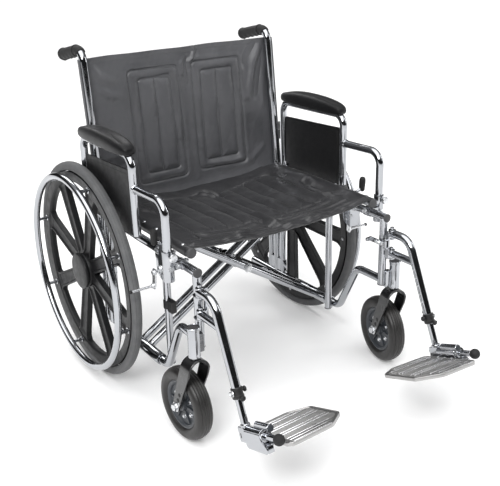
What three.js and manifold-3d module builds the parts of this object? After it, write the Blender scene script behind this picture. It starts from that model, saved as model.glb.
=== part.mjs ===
// A heavy-duty folding manual wheelchair: two welded side frames joined by a cross brace.
// Millimetres, +Z up, the chair faces -Y and +X is the occupant's left hand side.
import * as THREE from 'three';
import { mergeVertices } from 'three/addons/utils/BufferGeometryUtils.js';
import Module from 'manifold-3d';

const wasm = await Module();
wasm.setup();

// ---------------------------------------------------------------- driving dimensions
const rearAxleY = 270.6; // puts the origin under the middle of the chair
const gap = 0.4; // left between touching parts
const tubeR = 11.1; // 22.2 mm frame tube
const armTubeR = 10.5; // 21 mm armrest tube
const frameX = 295; // upper side tube, uprights and push canes
const lowerRailX = 291;
const lowerRailZ = 122;
const sideTubeZ = 452;
const sideTubeFrontY = -502;
const frontPost = { x: 292, y: -493, bottom: 257 };
const midPost = { x: 268.5, y: -293, bottom: 112, top: 455 };
const axlePostY = 31; // half spacing of the two posts either side of the upright

const wheelR = 305; // 24 inch tyre
const tyreR = 12.5;
const wheelX = 357.6;
const handrim = { x: 42.6, r: 271.4, tubeR: 9.5, standoffs: 8 };
const hubR = 47;
const spokes = 8;
const wheelPhase = { right: 0, left: 18 }; // degrees, where each wheel has come to rest

const caster = { x: 321, y: -512.5, trail: 51, r: 95.2, halfWidth: 23.3 };
const casterYaw = { right: 11.5, left: 2.4 }; // degrees, each wheel trailing outwards
const housing = { bottom: 246, top: 322, r: 15, bore: 6.6 };

const armX = 331;
const arm = { rearY: 8, topRear: 680, topFront: 686, uprightY: -276, stepZ: 608, stepY: -429, foot: 420 };
const pad = { width: 58, length: 284, height: 36, y: -134, bottom: 687 };

const seatRail = { x: 283, z: 484, r: 10.5, rearY: -14, frontY: -456 };
const legA = [-201, -159]; // tube planes of one brace leg
const legB = [-258, -134]; // the other leg straddles it
const sleeveA = [-140, -280];
const sleeveB = [-118, -280];
const sleeveR = 15.5;

const hangerAxis = { x: 301, y: -517 };
const hanger = { x: 302, armZ: 412, barZ: 355, cornerY: -580, endY: -671, endZ: 205, lugs: [338, 396] };
const latchX = 277;
const footHinge = { x: 303, y: -760, z: 158.5, rise: 21 }; // degrees up towards the front
const plateSleeve = { from: 53, to: -20, radius: 13 };
const plate = { top: -10, thickness: 9, width: 185, front: -86, rear: 98 };
const plateTilt = 2; // degrees, inner edge up

const lockPivot = { x: 310, y: -350, z: 415 };
const shoePivot = { x: 318, y: -330, z: 400 };

// ---------------------------------------------------------------- materials
const finish = (color, metalness, roughness) =>
  new THREE.MeshStandardMaterial({ color, metalness, roughness });
const chrome = finish(0xd9dbdd, 1, 0.12);
const aluminium = finish(0xb9bbbd, 1, 0.4);
const blackPlastic = finish(0x26272a, 0, 0.5);
const blackPaint = finish(0x1b1b1d, 0.2, 0.35);
const greyTyre = finish(0x6b6d6e, 0, 0.8);
const casterRubber = finish(0x4a4848, 0, 0.8);
const slateHub = finish(0x44474c, 0, 0.5);
const vinyl = finish(0x3c3d3f, 0, 0.6);
const gripRubber = finish(0x1d1d1f, 0, 0.7);

// ---------------------------------------------------------------- solids
const v = (x, y, z) => new THREE.Vector3(x, y, z);

// Signed volume, negative when the faces point inwards.
function volume(position, index) {
  let sum = 0;
  const a = v(0, 0, 0);
  const b = v(0, 0, 0);
  const c = v(0, 0, 0);
  for (let i = 0; i < index.count; i += 3) {
    a.fromBufferAttribute(position, index.getX(i));
    b.fromBufferAttribute(position, index.getX(i + 1));
    c.fromBufferAttribute(position, index.getX(i + 2));
    sum += a.dot(b.cross(c));
  }
  return sum;
}

function flipped(geometry) {
  const index = geometry.index;
  for (let i = 0; i < index.count; i += 3) {
    const first = index.getX(i);
    index.setX(i, index.getX(i + 1));
    index.setX(i + 1, first);
  }
  return geometry;
}

// A closed three.js geometry as a solid that can be joined and cut.
function solid(geometry) {
  const bare = geometry.clone();
  bare.deleteAttribute('normal');
  bare.deleteAttribute('uv');
  const merged = mergeVertices(bare, 1e-3);
  if (volume(merged.attributes.position, merged.index) < 0) flipped(merged);
  const vertProperties = Float32Array.from(merged.attributes.position.array);
  const triVerts = Uint32Array.from(merged.index.array);
  return new wasm.Manifold(new wasm.Mesh({ numProp: 3, vertProperties, triVerts }));
}

function join(...solids) {
  return solids.reduce((whole, piece) => whole.add(piece));
}

function geometryOf(body) {
  const mesh = body.getMesh();
  const geometry = new THREE.BufferGeometry();
  geometry.setAttribute('position', new THREE.BufferAttribute(mesh.vertProperties, 3));
  geometry.setIndex(new THREE.BufferAttribute(mesh.triVerts, 1));
  return geometry;
}

// A path through given points, one extrusion step from each point to the next.
class Route extends THREE.Curve {
  constructor(points) {
    super();
    this.points = points;
  }

  getPointAt(u) {
    return this.points[Math.round(u * (this.points.length - 1))].clone();
  }

  getPoint(t) {
    return this.getPointAt(t);
  }

  getTangentAt(u) {
    const last = this.points.length - 1;
    const i = Math.round(u * last);
    const before = this.points[i].clone().sub(this.points[Math.max(i - 1, 0)]).normalize();
    const after = this.points[Math.min(i + 1, last)].clone().sub(this.points[i]).normalize();
    return before.add(after).normalize();
  }
}

// The corner points of a bent tube with each inner corner turned into an arc.
function bent(corners, bend, stepDegrees = 18) {
  const points = [corners[0]];
  for (let i = 1; i < corners.length - 1; i++) {
    const back = corners[i - 1].clone().sub(corners[i]).normalize();
    const ahead = corners[i + 1].clone().sub(corners[i]).normalize();
    const half = back.angleTo(ahead) / 2;
    const middle = back.clone().add(ahead).normalize();
    const centre = corners[i].clone().addScaledVector(middle, bend / Math.sin(half));
    const start = corners[i].clone().addScaledVector(back, bend / Math.tan(half)).sub(centre);
    const end = corners[i].clone().addScaledVector(ahead, bend / Math.tan(half)).sub(centre);
    const sweep = start.angleTo(end);
    const axis = start.clone().cross(end).normalize();
    const steps = Math.max(2, Math.ceil(THREE.MathUtils.radToDeg(sweep) / stepDegrees));
    for (let k = 0; k <= steps; k++) {
      points.push(centre.clone().add(start.clone().applyAxisAngle(axis, (sweep * k) / steps)));
    }
  }
  points.push(corners[corners.length - 1]);
  return points;
}

function roundSection(radius, sides) {
  const points = [];
  for (let i = 0; i < sides; i++) {
    const angle = ((i + 0.5) * 2 * Math.PI) / sides;
    points.push(new THREE.Vector2(radius * Math.cos(angle), radius * Math.sin(angle)));
  }
  return new THREE.Shape(points);
}

function tube(points, radius, sides = 8) {
  const options = { steps: points.length - 1, extrudePath: new Route(points) };
  return solid(new THREE.ExtrudeGeometry(roundSection(radius, sides), options));
}

const rod = (from, to, radius, sides = 8) => tube([from, to], radius, sides);

function box(low, high) {
  const size = high.clone().sub(low);
  const geometry = new THREE.BoxGeometry(size.x, size.y, size.z);
  return solid(geometry.translate(...low.clone().add(high).multiplyScalar(0.5).toArray()));
}

// A closed profile of [radius, along] points turned about X, through the given centre.
function turned(profile, segments, centre) {
  const points = profile.map(([radius, along]) => new THREE.Vector2(radius, along));
  const geometry = new THREE.LatheGeometry(points, segments).rotateZ(-Math.PI / 2);
  return solid(geometry.translate(centre.x, centre.y, centre.z));
}

// The same turned about Z.
function turnedUp(profile, segments, centre) {
  const points = profile.map(([radius, along]) => new THREE.Vector2(radius, along));
  const geometry = new THREE.LatheGeometry(points, segments).rotateX(Math.PI / 2);
  return solid(geometry.translate(centre.x, centre.y, centre.z));
}

// A flat plate whose outline is given as [y, z] points, between two values of x.
function sidePlate(outline, x0, x1) {
  const shape = new THREE.Shape(outline.map(([y, z]) => new THREE.Vector2(y, z)));
  const geometry = new THREE.ExtrudeGeometry(shape, { depth: x1 - x0, bevelEnabled: false });
  const upright = new THREE.Matrix4().makeBasis(v(0, 1, 0), v(0, 0, 1), v(1, 0, 0));
  return solid(geometry.applyMatrix4(upright).translate(x0, 0, 0));
}

// A bar whose outline is given as [x, z] points, between two values of y.
function crossPlate(outline, y0, y1) {
  const shape = new THREE.Shape(outline.map(([x, z]) => new THREE.Vector2(x, z)));
  const geometry = new THREE.ExtrudeGeometry(shape, { depth: y1 - y0, bevelEnabled: false });
  return solid(geometry.rotateX(Math.PI / 2).translate(0, y1, 0));
}

// ---------------------------------------------------------------- side frame
const sideTubeAxis = [v(frameX, -tubeR - gap, sideTubeZ), v(frameX, sideTubeFrontY, sideTubeZ)];
const besideSideTube = () => rod(v(frameX, 80, sideTubeZ), v(frameX, -540, sideTubeZ), tubeR + gap, 16);

function sideTube() {
  const bracket = sidePlate([[-318, 446], [-382, 446], [-372, 392], [-340, 380], [-318, 392]], 302, 305);
  const lockBolt = rod(v(304, lockPivot.y, lockPivot.z), v(314, lockPivot.y, lockPivot.z), 5, 8);
  const shoeBolt = rod(v(304, shoePivot.y, shoePivot.z), v(324, shoePivot.y, shoePivot.z), 4, 8);
  return join(rod(...sideTubeAxis, tubeR, 10), bracket, lockBolt, shoeBolt);
}

function frontPostSolid() {
  const { x, y, bottom } = frontPost;
  const post = rod(v(x, y, bottom), v(x, y, sideTubeZ), tubeR);
  const lugs = hanger.lugs.map((z) => box(v(293.5, -526, z), v(310, y, z + 4)));
  return join(post, ...lugs).subtract(besideSideTube());
}

// The cradle on top of the post carries the seat rail when the chair is open.
function midPostSolid() {
  const { x, y, bottom, top } = midPost;
  const cradle = box(v(260, y - 17, top - 6), v(300, y + 17, seatRail.z - seatRail.r - gap));
  const { x: railX, z: railZ } = seatRail;
  const rest = rod(v(railX, y - 30, railZ), v(railX, y + 30, railZ), seatRail.r + gap, 16);
  return join(rod(v(x, y, bottom), v(x, y, top), 10), cradle).subtract(besideSideTube()).subtract(rest);
}

function lowerRail() {
  const kneeY = -318;
  const riseY = -395;
  const upperZ = 272;
  const corners = [
    v(lowerRailX, 128, lowerRailZ),
    v(lowerRailX, kneeY, lowerRailZ),
    v(lowerRailX, riseY, upperZ),
    v(lowerRailX, frontPost.y + tubeR + gap, upperZ),
  ];
  return tube(bent(corners, 34), tubeR);
}

const canePath = bent(
  [
    v(frameX + 1, 0, lowerRailZ + tubeR + gap),
    v(frameX + 1, 0, 492),
    v(frameX + 1, 42, 899),
    v(frameX + 1, 168, 873),
  ],
  30,
);

function rearUpright() {
  const x = frameX + 1;
  const foot = lowerRailZ + tubeR + gap;
  const posts = [-axlePostY, axlePostY].map((y) => rod(v(x, y, foot), v(x, y, sideTubeZ - tubeR - gap), 9));
  const axlePlate = box(v(x - 7, -axlePostY - 8, 290), v(x + 7, axlePostY + 8, 320));
  const axleTube = rod(v(x - 14, 0, wheelR), v(x + 17, 0, wheelR), 15, 12);
  const stub = rod(v(x, 0, 430), v(x, axlePostY, 430), 8, 8);
  const socket = rod(v(armX, arm.rearY, 404), v(armX, arm.rearY, 480), 13.5, 10);
  const socketArm = box(v(x, arm.rearY - 10, 412), v(armX, arm.rearY + 6, 436));
  const legBore = rod(v(armX, arm.rearY, 395), v(armX, arm.rearY, 490), armTubeR + 2 * gap, 10);
  const axleBore = rod(v(x - 40, 0, wheelR), v(x + 40, 0, wheelR), 8.6, 10);
  const whole = join(tube(canePath, tubeR), ...posts, axlePlate, axleTube, stub, socketArm, socket);
  return whole.subtract(legBore).subtract(axleBore);
}

// Built along the sloping handle, ribbed outside, open at the front.
function pushGrip() {
  const end = canePath[canePath.length - 1];
  const start = canePath[canePath.length - 2];
  const along = end.clone().sub(start).normalize();
  const length = end.distanceTo(start) + 13;
  const wall = tubeR + 2 * gap;
  const outline = [[wall, 2], [14.5, 2], [15.6, 10]];
  for (let k = 1; k <= 4; k++) {
    const at = 6 + (k * (length - 30)) / 4.5;
    outline.push([16.2, at], [14.8, at + 6]);
  }
  outline.push([16.6, length - 8], [13, length], [0, length], [0, length - 5], [wall, length - 5], [wall, 2]);
  const points = outline.map(([radius, at]) => new THREE.Vector2(radius, at));
  const turn = new THREE.Quaternion().setFromUnitVectors(v(0, 1, 0), along);
  const sleeve = new THREE.LatheGeometry(points, 10).applyQuaternion(turn);
  return solid(sleeve.translate(start.x, start.y, start.z));
}

// ---------------------------------------------------------------- caster
function casterHousing() {
  const { bottom, top, r, bore } = housing;
  const ring = [[bore, bottom], [r, bottom], [r, top], [bore, top], [bore, bottom]];
  const shell = turnedUp(ring, 12, v(caster.x, caster.y, 0));
  const web = box(v(frontPost.x, -512, 250), v(caster.x - 10, -498, 302));
  const post = rod(v(frontPost.x, frontPost.y, 200), v(frontPost.x, frontPost.y, 400), tubeR + gap, 16);
  return shell.add(web.subtract(post));
}

function casterCap() {
  const dome = [[0, 0], [15.6, 0], [15.6, 3], [11, 7], [0, 8.5], [0, 0]];
  return turnedUp(dome, 12, v(caster.x, caster.y, housing.top + gap));
}

// Fork, wheel and tyre are drawn about the swivel axis, with the wheel trailing towards +Y.
function casterFork() {
  const inner = caster.halfWidth + 3;
  const outer = inner + 5;
  const crown = [
    [-outer, 196], [-outer, 214], [-20, 245.4], [20, 245.4], [outer, 214], [outer, 196],
    [inner, 196], [inner, 212], [17, 238], [-17, 238], [-inner, 212], [-inner, 196],
  ];
  const legOutline = [[-19, 214], [-17, 196], [37, 90], [46, 82], [56, 82], [65, 92], [64, 108], [21, 214]];
  const legs = [sidePlate(legOutline, -outer, -inner), sidePlate(legOutline, inner, outer)];
  const axle = rod(v(-outer - 7, caster.trail, caster.r), v(outer + 7, caster.trail, caster.r), 6, 8);
  const heads = [-1, 1].map((s) => rod(
    v(s * (outer - 1), caster.trail, caster.r), v(s * (outer + 5), caster.trail, caster.r), 10, 6));
  const stem = rod(v(0, 0, 240), v(0, 0, 318), housing.bore - 2 * gap, 8);
  return join(crossPlate(crown, -19, 21), ...legs, axle, ...heads, stem);
}

function casterTyre() {
  const w = caster.halfWidth;
  const r = caster.r;
  const profile = [
    [64, -16], [78, -w], [87, -w], [r, -w * 0.45], [r, w * 0.45], [87, w], [78, w], [64, 16], [64, -16],
  ];
  return turned(profile, 24, v(0, caster.trail, r));
}

function casterHub() {
  const profile = [
    [6.8, -20], [16, -20], [18, -7], [50, -7], [54, -16], [63, -16], [63, 16],
    [54, 16], [50, 7], [18, 7], [16, 20], [6.8, 20], [6.8, -20],
  ];
  return turned(profile, 16, v(0, caster.trail, caster.r));
}

// ---------------------------------------------------------------- rear wheel, about its own axle
const origin = v(0, 0, 0);

function rearTyre() {
  const centre = wheelR - tyreR;
  const profile = [];
  for (let k = 0; k <= 8; k++) {
    const angle = (k * 2 * Math.PI) / 8;
    profile.push([centre + tyreR * Math.cos(angle), tyreR * Math.sin(angle)]);
  }
  profile[8] = [...profile[0]];
  return turned(profile, 36, origin);
}

// Moulded wheel: rim, broad tapering spokes and a deep hub.
function rearWheel() {
  const seat = wheelR - 2 * tyreR - gap;
  const rim = [[256, -9], [seat, -11], [seat, 11], [256, 9], [256, -9]];
  const hub = [[0, -38], [22, -38], [hubR, -16], [hubR, 17], [hubR - 7, 24], [0, 24], [0, -38]];
  const body = [turned(rim, 36, origin), turned(hub, 16, origin)];
  for (let k = 0; k < spokes; k++) {
    const blade = [[-19, 38], [-23, 262], [23, 262], [19, 38]];
    const spoke = sidePlate(blade, -8, 8).rotate([(k * 360) / spokes, 0, 0]);
    body.push(spoke);
  }
  return join(...body).subtract(rod(v(-60, 0, 0), v(60, 0, 0), 8.6, 12));
}

function handrimSolid() {
  const { x, r, tubeR: t, standoffs } = handrim;
  const profile = [];
  for (let k = 0; k < 6; k++) {
    const angle = (k * 2 * Math.PI) / 6;
    profile.push([r + t * Math.cos(angle), x + t * Math.sin(angle)]);
  }
  profile.push([...profile[0]]);
  const parts = [turned(profile, 36, origin)];
  for (let k = 0; k < standoffs; k++) {
    const foot = rod(v(11 + gap, 0, r - 3), v(x, 0, r - 1), 5, 6).rotate([(k * 360) / standoffs, 0, 0]);
    parts.push(foot);
  }
  return join(...parts);
}

function wheelAxle() {
  const inner = frameX - 13 - gap - wheelX;
  const shaft = rod(v(inner - 14, 0, 0), v(30, 0, 0), 8, 12);
  const nut = rod(v(inner - 10, 0, 0), v(inner, 0, 0), 13, 6);
  const cap = turned([[0, 24 + gap], [14, 24 + gap], [14, 28], [9, 33], [0, 34], [0, 24 + gap]], 12, origin);
  return join(shaft, nut, cap);
}

// ---------------------------------------------------------------- armrest
const hoopPath = bent(
  [
    v(armX, arm.rearY, arm.foot),
    v(armX, arm.rearY, arm.topRear),
    v(armX, arm.uprightY, arm.topFront),
    v(armX, arm.uprightY, 482),
  ],
  32,
  22.5,
);

function armrestFrame() {
  const step = bent(
    [v(armX, arm.uprightY, arm.stepZ - 2), v(armX, arm.stepY, arm.stepZ + 3), v(armX, arm.stepY, arm.foot)],
    36,
    22.5,
  );
  return join(tube(hoopPath, armTubeR), tube(step, armTubeR));
}

function armPad() {
  const half = pad.width / 2;
  const shape = new THREE.Shape();
  const end = pad.length / 2 - half;
  shape.absarc(0, end, half - 4, 0, Math.PI);
  shape.absarc(0, -end, half - 4, Math.PI, 2 * Math.PI);
  shape.closePath();
  const rounding = { bevelSize: 4, bevelThickness: 6, bevelSegments: 1, curveSegments: 5 };
  const options = { depth: pad.height - 12, ...rounding };
  const geometry = new THREE.ExtrudeGeometry(shape, options).translate(armX, pad.y, pad.bottom + 6);
  return solid(geometry).subtract(tube(hoopPath, armTubeR + gap));
}

function sidePanel() {
  const front = arm.uprightY + armTubeR + gap;
  const rear = arm.rearY - armTubeR - gap;
  const edge = [[rear, 490], [rear, 634], [front, 646], [front, 478], [-24, 478], [-24, 490]];
  return sidePlate(edge, armX - 2, armX + 2);
}

function armrestSocket() {
  const y = arm.stepY;
  const sleeve = rod(v(armX, y, 416), v(armX, y, 492), 13.5, 10);
  const clamp = box(v(298, y - 13, 436), v(armX, y + 13, 468));
  const bore = rod(v(armX, y, 390), v(armX, y, 500), armTubeR + 2 * gap, 10);
  return clamp.subtract(besideSideTube()).add(sleeve).subtract(bore);
}

function armrestLock() {
  const y = arm.stepY - 13.5 - gap;
  const z = 482;
  const knob = rod(v(armX, y - 8, z), v(armX, y - 16, z), 10.5, 12);
  return knob.add(rod(v(armX, y, z), v(armX, y - 10, z), 4));
}

// ---------------------------------------------------------------- wheel lock
function wheelLockLever() {
  const { x, y, z } = lockPivot;
  const foot = [[y - 12, z - 14], [y + 12, z - 14], [y + 10, z + 12]];
  const blade = [...foot, [y - 2, z + 74], [y - 16, z + 74], [y - 12, z]];
  const plateSolid = sidePlate(blade, x - 3, x + 1).subtract(rod(v(300, y, z), v(330, y, z), 5.4, 12));
  const stalk = rod(v(x - 1, y - 9, z + 68), v(x + 18, y - 11, z + 80), 5, 8);
  const grip = rod(v(x + 19, y - 11, z + 72), v(x + 20, y - 13, z + 112), 8, 10);
  return join(plateSolid, stalk, grip);
}

function wheelLockShoe() {
  const { x, y, z } = shoePivot;
  const link = sidePlate([[y - 8, z + 8], [y + 8, z + 8], [y + 15, z - 46], [y + 2, z - 50]], x - 2, x + 2);
  const bar = rod(v(x - 2, y + 8, z - 39), v(x + 72, y + 8, z - 39), 4);
  return link.add(bar).subtract(rod(v(300, y, z), v(340, y, z), 4.4, 12));
}

// ---------------------------------------------------------------- legrest, drawn about its swing axis
const legLine = v(0, hanger.endY - hanger.cornerY, hanger.endZ - hanger.armZ - 1).normalize();
const legEnd = v(hanger.x, hanger.endY, hanger.endZ);
const onLeg = (distance) => legEnd.clone().addScaledVector(legLine, distance);

// Two short barrels drop onto the lugs of the front post; a strap between them carries the latch.
function hangerSolid() {
  const { x, armZ, barZ, cornerY, lugs } = hanger;
  const axisY = hangerAxis.y;
  const barrel = (low, high) => rod(v(hangerAxis.x, axisY, low), v(hangerAxis.x, axisY, high), 10);
  const route = bent([v(x, axisY, armZ), v(x, cornerY, armZ + 1), legEnd], 45);
  const barEnd = cornerY + ((armZ + 1 - barZ) * legLine.y) / -legLine.z;
  const bar = rod(v(x, axisY, barZ), v(x, barEnd, barZ), 10);
  const strap = box(v(283, axisY - 6, 345), v(288.5, axisY + 6, 421));
  const feet = [346, 402].map((z) => box(v(286, axisY - 6, z), v(hangerAxis.x, axisY + 6, z + 17)));
  const ears = [372, 396].map((z) => box(v(latchX - 4, axisY - 4, z), v(285, axisY + 4, z + 4)));
  const latchPin = rod(v(latchX, axisY, 374), v(latchX, axisY, 398), 2, 6);
  const collar = rod(onLeg(-26), onLeg(-6), 14, 10);
  const bore = rod(onLeg(-110), onLeg(10), 9, 8);
  const barrels = [barrel(lugs[0] + 4 + gap, barZ + 11), barrel(lugs[1] + 4 + gap, armZ + 11)];
  return join(...barrels, tube(route, tubeR), bar, strap, ...feet, ...ears, latchPin, collar).subtract(bore);
}

function hangerLatch() {
  const y = hangerAxis.y;
  const lever = box(v(latchX - 2, y - 3, 379), v(latchX + 2, y + 62, 392));
  const tab = box(v(262, y + 54, 381), v(latchX, y + 62, 390));
  const knob = rod(v(latchX, y + 22, 386), v(latchX - 9, y + 22, 386), 7, 10);
  const barrel = rod(v(latchX, y, 377), v(latchX, y, 395), 5);
  return join(lever, tab, knob, barrel).subtract(rod(v(latchX, y, 370), v(latchX, y, 400), 2.6));
}

const riseAngle = THREE.MathUtils.degToRad(footHinge.rise);
const hingeDirection = v(0, -Math.cos(riseAngle), Math.sin(riseAngle));
const hingePoint = v(footHinge.x, footHinge.y, footHinge.z);
const onHinge = (distance) => hingePoint.clone().addScaledVector(hingeDirection, distance);

function footrestTube() {
  const inner = rod(onLeg(-100), onHinge(-63), 8.2, 8);
  const barrel = rod(onHinge(-82), onHinge(-55.5), 11, 10);
  const bore = rod(onHinge(-90), onHinge(-10), 5.2, 8);
  return join(inner, barrel).subtract(bore);
}

// Footplate parts are drawn about the hinge line: -Y runs along it towards the front.
function footplatePin() {
  const shaft = rod(v(0, 84, 0), v(0, -62, 0), 4.5, 8);
  const ball = solid(new THREE.SphereGeometry(11, 8, 6).translate(0, -68, 0));
  return shaft.add(ball);
}

function footplateSolid() {
  const { top, thickness, width, front, rear } = plate;
  const shape = new THREE.Shape();
  shape.moveTo(-13, rear);
  shape.lineTo(-13, front + 10);
  shape.lineTo(-23, front);
  shape.lineTo(-width + 52, front);
  shape.lineTo(-width, front + 42);
  shape.lineTo(-width, rear - 28);
  shape.lineTo(-width + 50, rear);
  shape.closePath();
  const slab = new THREE.ExtrudeGeometry(shape, { depth: thickness - 4, bevelEnabled: false });
  const parts = [solid(slab.translate(0, 0, top - thickness))];
  const ribs = 8;
  for (let k = 0; k < ribs; k++) {
    const y = front + 14 + (k * (rear - front - 28)) / (ribs - 1);
    parts.push(box(v(50 - width, y - 3, top - thickness + 2), v(-26, y + 3, top)));
  }
  const { from, to, radius } = plateSleeve;
  parts.push(rod(v(0, from, 0), v(0, to, 0), radius, 12));
  parts.push(box(v(-16, to, top - thickness), v(3, from, -2)));
  parts.push(box(v(radius - 4, to, -36), v(radius, from, 4)));
  parts.push(rod(v(-11, 25, 15), v(-11, -42, 15), 7.5, 8));
  return join(...parts).subtract(rod(v(0, 60, 0), v(0, -60, 0), 5.2, 8));
}

// ---------------------------------------------------------------- cross brace and seat
// A leg runs from a sleeve on one lower rail to the opposite seat rail.
function braceLeg(side, planes, sleeveEnds) {
  const foot = (y) => v(side * lowerRailX, y, lowerRailZ);
  const head = (y) => v(-side * seatRail.x, y, seatRail.z);
  const tubes = planes.map((y) => rod(foot(y), head(y), 10.5));
  const sleeve = rod(foot(sleeveEnds[0]), foot(sleeveEnds[1]), sleeveR, 12);
  const railBore = rod(foot(100), foot(-420), tubeR + 2 * gap, 12);
  const rail = rod(head(0), head(-500), seatRail.r + 2 * gap, 12);
  return join(...tubes, sleeve).subtract(railBore).subtract(rail);
}

const braceCentreZ = lowerRailZ + (lowerRailX * (seatRail.z - lowerRailZ)) / (lowerRailX + seatRail.x);

const braceA = () => braceLeg(-1, legA, sleeveA).subtract(
  rod(v(0, -100, braceCentreZ), v(0, -320, braceCentreZ), 5.6, 8));

function braceB() {
  const pin = rod(v(0, legB[1] + 14, braceCentreZ), v(0, legB[0] - 14, braceCentreZ), 5, 8);
  const head = (y) => rod(v(0, y, braceCentreZ), v(0, y + 4, braceCentreZ), 9, 6);
  const heads = [legB[1] + 10, legB[0] - 14].map(head);
  return join(braceLeg(1, legB, sleeveB), pin, ...heads);
}

const seatRailSolid = () => rod(
  v(seatRail.x, seatRail.rearY, seatRail.z), v(seatRail.x, seatRail.frontY, seatRail.z), seatRail.r, 10);

// A sling that lies flat on the seat rails and sags between them.
function seatSling() {
  const sag = 16;
  const thickness = 5;
  const inner = seatRail.x - 14;
  const edge = seatRail.x + 12;
  const high = seatRail.z + seatRail.r + gap;
  const steps = 10;
  const top = [[edge, high + thickness]];
  const bottom = [[-edge, high]];
  for (let k = 0; k <= steps; k++) {
    const x = -inner + (2 * inner * k) / steps;
    const z = high - sag * (1 - (x / inner) ** 2);
    bottom.push([x, z]);
    top.push([-x, z + thickness]);
  }
  bottom.push([edge, high]);
  top.push([-edge, high + thickness]);
  return crossPlate([...bottom, ...top], seatRail.frontY, seatRail.rearY);
}

function backSling() {
  const lean = (z) => ((z - 492) * 42) / (899 - 492);
  const half = frameX + 1 - tubeR - 1;
  const low = 460;
  const high = 876;
  const bottom = [[lean(low) - 4, low], [lean(low) + 4, low]];
  const outline = [...bottom, [lean(high) + 4, high], [lean(high) - 4, high]];
  return sidePlate(outline, -half, half);
}

// ---------------------------------------------------------------- assembly
const chair = new THREE.Group();
chair.name = 'wheelchair';
chair.position.y = rearAxleY;

function addMesh(group, name, body, material) {
  const mesh = new THREE.Mesh(geometryOf(body), material.clone());
  mesh.name = name;
  group.add(mesh);
}

// Every part is drawn for the +X side; the other side is its mirror image.
function buildSide(side, sign) {
  const put = (group, name, body, material) => {
    const mirrored = sign < 0 ? body.mirror([1, 0, 0]) : body;
    addMesh(group, `${name}_${side}`, mirrored, material);
  };
  const subgroup = (parent, x, y, z) => {
    const group = new THREE.Group();
    group.position.set(sign * x, y, z);
    parent.add(group);
    return group;
  };

  put(chair, 'side_tube', sideTube(), chrome);
  put(chair, 'front_post', frontPostSolid(), chrome);
  put(chair, 'mid_post', midPostSolid(), chrome);
  put(chair, 'lower_rail', lowerRail(), chrome);
  put(chair, 'rear_upright', rearUpright(), chrome);
  put(chair, 'push_grip', pushGrip(), gripRubber);
  put(chair, 'caster_housing', casterHousing(), chrome);
  put(chair, 'caster_cap', casterCap(), blackPlastic);
  put(chair, 'armrest_socket', armrestSocket(), chrome);
  put(chair, 'armrest_lock', armrestLock(), aluminium);
  put(chair, 'armrest_frame', armrestFrame(), chrome);
  put(chair, 'arm_pad', armPad(), vinyl);
  put(chair, 'side_panel', sidePanel(), blackPlastic);
  put(chair, 'wheel_lock_lever', wheelLockLever(), blackPaint);
  put(chair, 'wheel_lock_shoe', wheelLockShoe(), chrome);
  put(chair, 'seat_rail', seatRailSolid(), chrome);

  const casterGroup = subgroup(chair, caster.x, caster.y, 0);
  casterGroup.rotation.z = THREE.MathUtils.degToRad(-sign * casterYaw[side]);
  put(casterGroup, 'caster_fork', casterFork(), blackPaint);
  put(casterGroup, 'caster_tyre', casterTyre(), casterRubber);
  put(casterGroup, 'caster_hub', casterHub(), slateHub);

  const wheelGroup = subgroup(chair, wheelX, 0, wheelR);
  wheelGroup.rotation.x = THREE.MathUtils.degToRad(wheelPhase[side]);
  put(wheelGroup, 'rear_tyre', rearTyre(), greyTyre);
  put(wheelGroup, 'rear_wheel', rearWheel(), blackPlastic);
  put(wheelGroup, 'handrim', handrimSolid(), chrome);
  put(wheelGroup, 'wheel_axle', wheelAxle(), chrome);

  put(chair, 'hanger', hangerSolid(), chrome);
  put(chair, 'hanger_latch', hangerLatch(), aluminium);
  put(chair, 'footrest_tube', footrestTube(), chrome);
  const hinge = subgroup(chair, footHinge.x, footHinge.y, footHinge.z);
  hinge.rotation.x = -riseAngle;
  put(hinge, 'footplate_pin', footplatePin(), blackPlastic);
  const flip = subgroup(hinge, 0, 0, 0);
  flip.rotation.y = THREE.MathUtils.degToRad(sign * plateTilt);
  put(flip, 'footplate', footplateSolid(), aluminium);
}

buildSide('right', 1);
buildSide('left', -1);
addMesh(chair, 'brace_leg_a', braceA(), chrome);
addMesh(chair, 'brace_leg_b', braceB(), chrome);
addMesh(chair, 'seat', seatSling(), vinyl);
addMesh(chair, 'back', backSling(), vinyl);

export default chair;
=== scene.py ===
# A heavy-duty folding manual wheelchair, in metres, +Z up, facing -Y.
# Pieces are drawn in millimetres from the rear axle line, for the +X side, and mirrored for the other side.
import math
import bmesh
import bpy
import numpy as np
from mathutils import Matrix, Vector


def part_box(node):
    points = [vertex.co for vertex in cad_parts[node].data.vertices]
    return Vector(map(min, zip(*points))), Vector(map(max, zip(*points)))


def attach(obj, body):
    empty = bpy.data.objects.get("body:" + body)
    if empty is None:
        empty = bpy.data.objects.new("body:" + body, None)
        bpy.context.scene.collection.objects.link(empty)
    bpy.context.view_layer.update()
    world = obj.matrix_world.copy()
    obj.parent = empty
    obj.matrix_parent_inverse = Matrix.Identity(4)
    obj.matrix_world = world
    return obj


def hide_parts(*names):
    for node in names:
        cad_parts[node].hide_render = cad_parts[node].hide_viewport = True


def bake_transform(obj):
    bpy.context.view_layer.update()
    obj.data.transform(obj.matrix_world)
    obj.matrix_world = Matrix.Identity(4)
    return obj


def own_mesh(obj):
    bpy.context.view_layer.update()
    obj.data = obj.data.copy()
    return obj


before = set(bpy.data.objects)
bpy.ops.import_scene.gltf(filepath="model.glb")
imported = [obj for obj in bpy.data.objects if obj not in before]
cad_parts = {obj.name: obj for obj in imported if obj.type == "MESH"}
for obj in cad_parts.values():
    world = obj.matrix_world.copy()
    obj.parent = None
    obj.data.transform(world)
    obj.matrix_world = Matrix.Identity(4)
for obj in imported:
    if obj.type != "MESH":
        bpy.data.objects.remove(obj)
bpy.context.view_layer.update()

MM = 0.001


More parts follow.
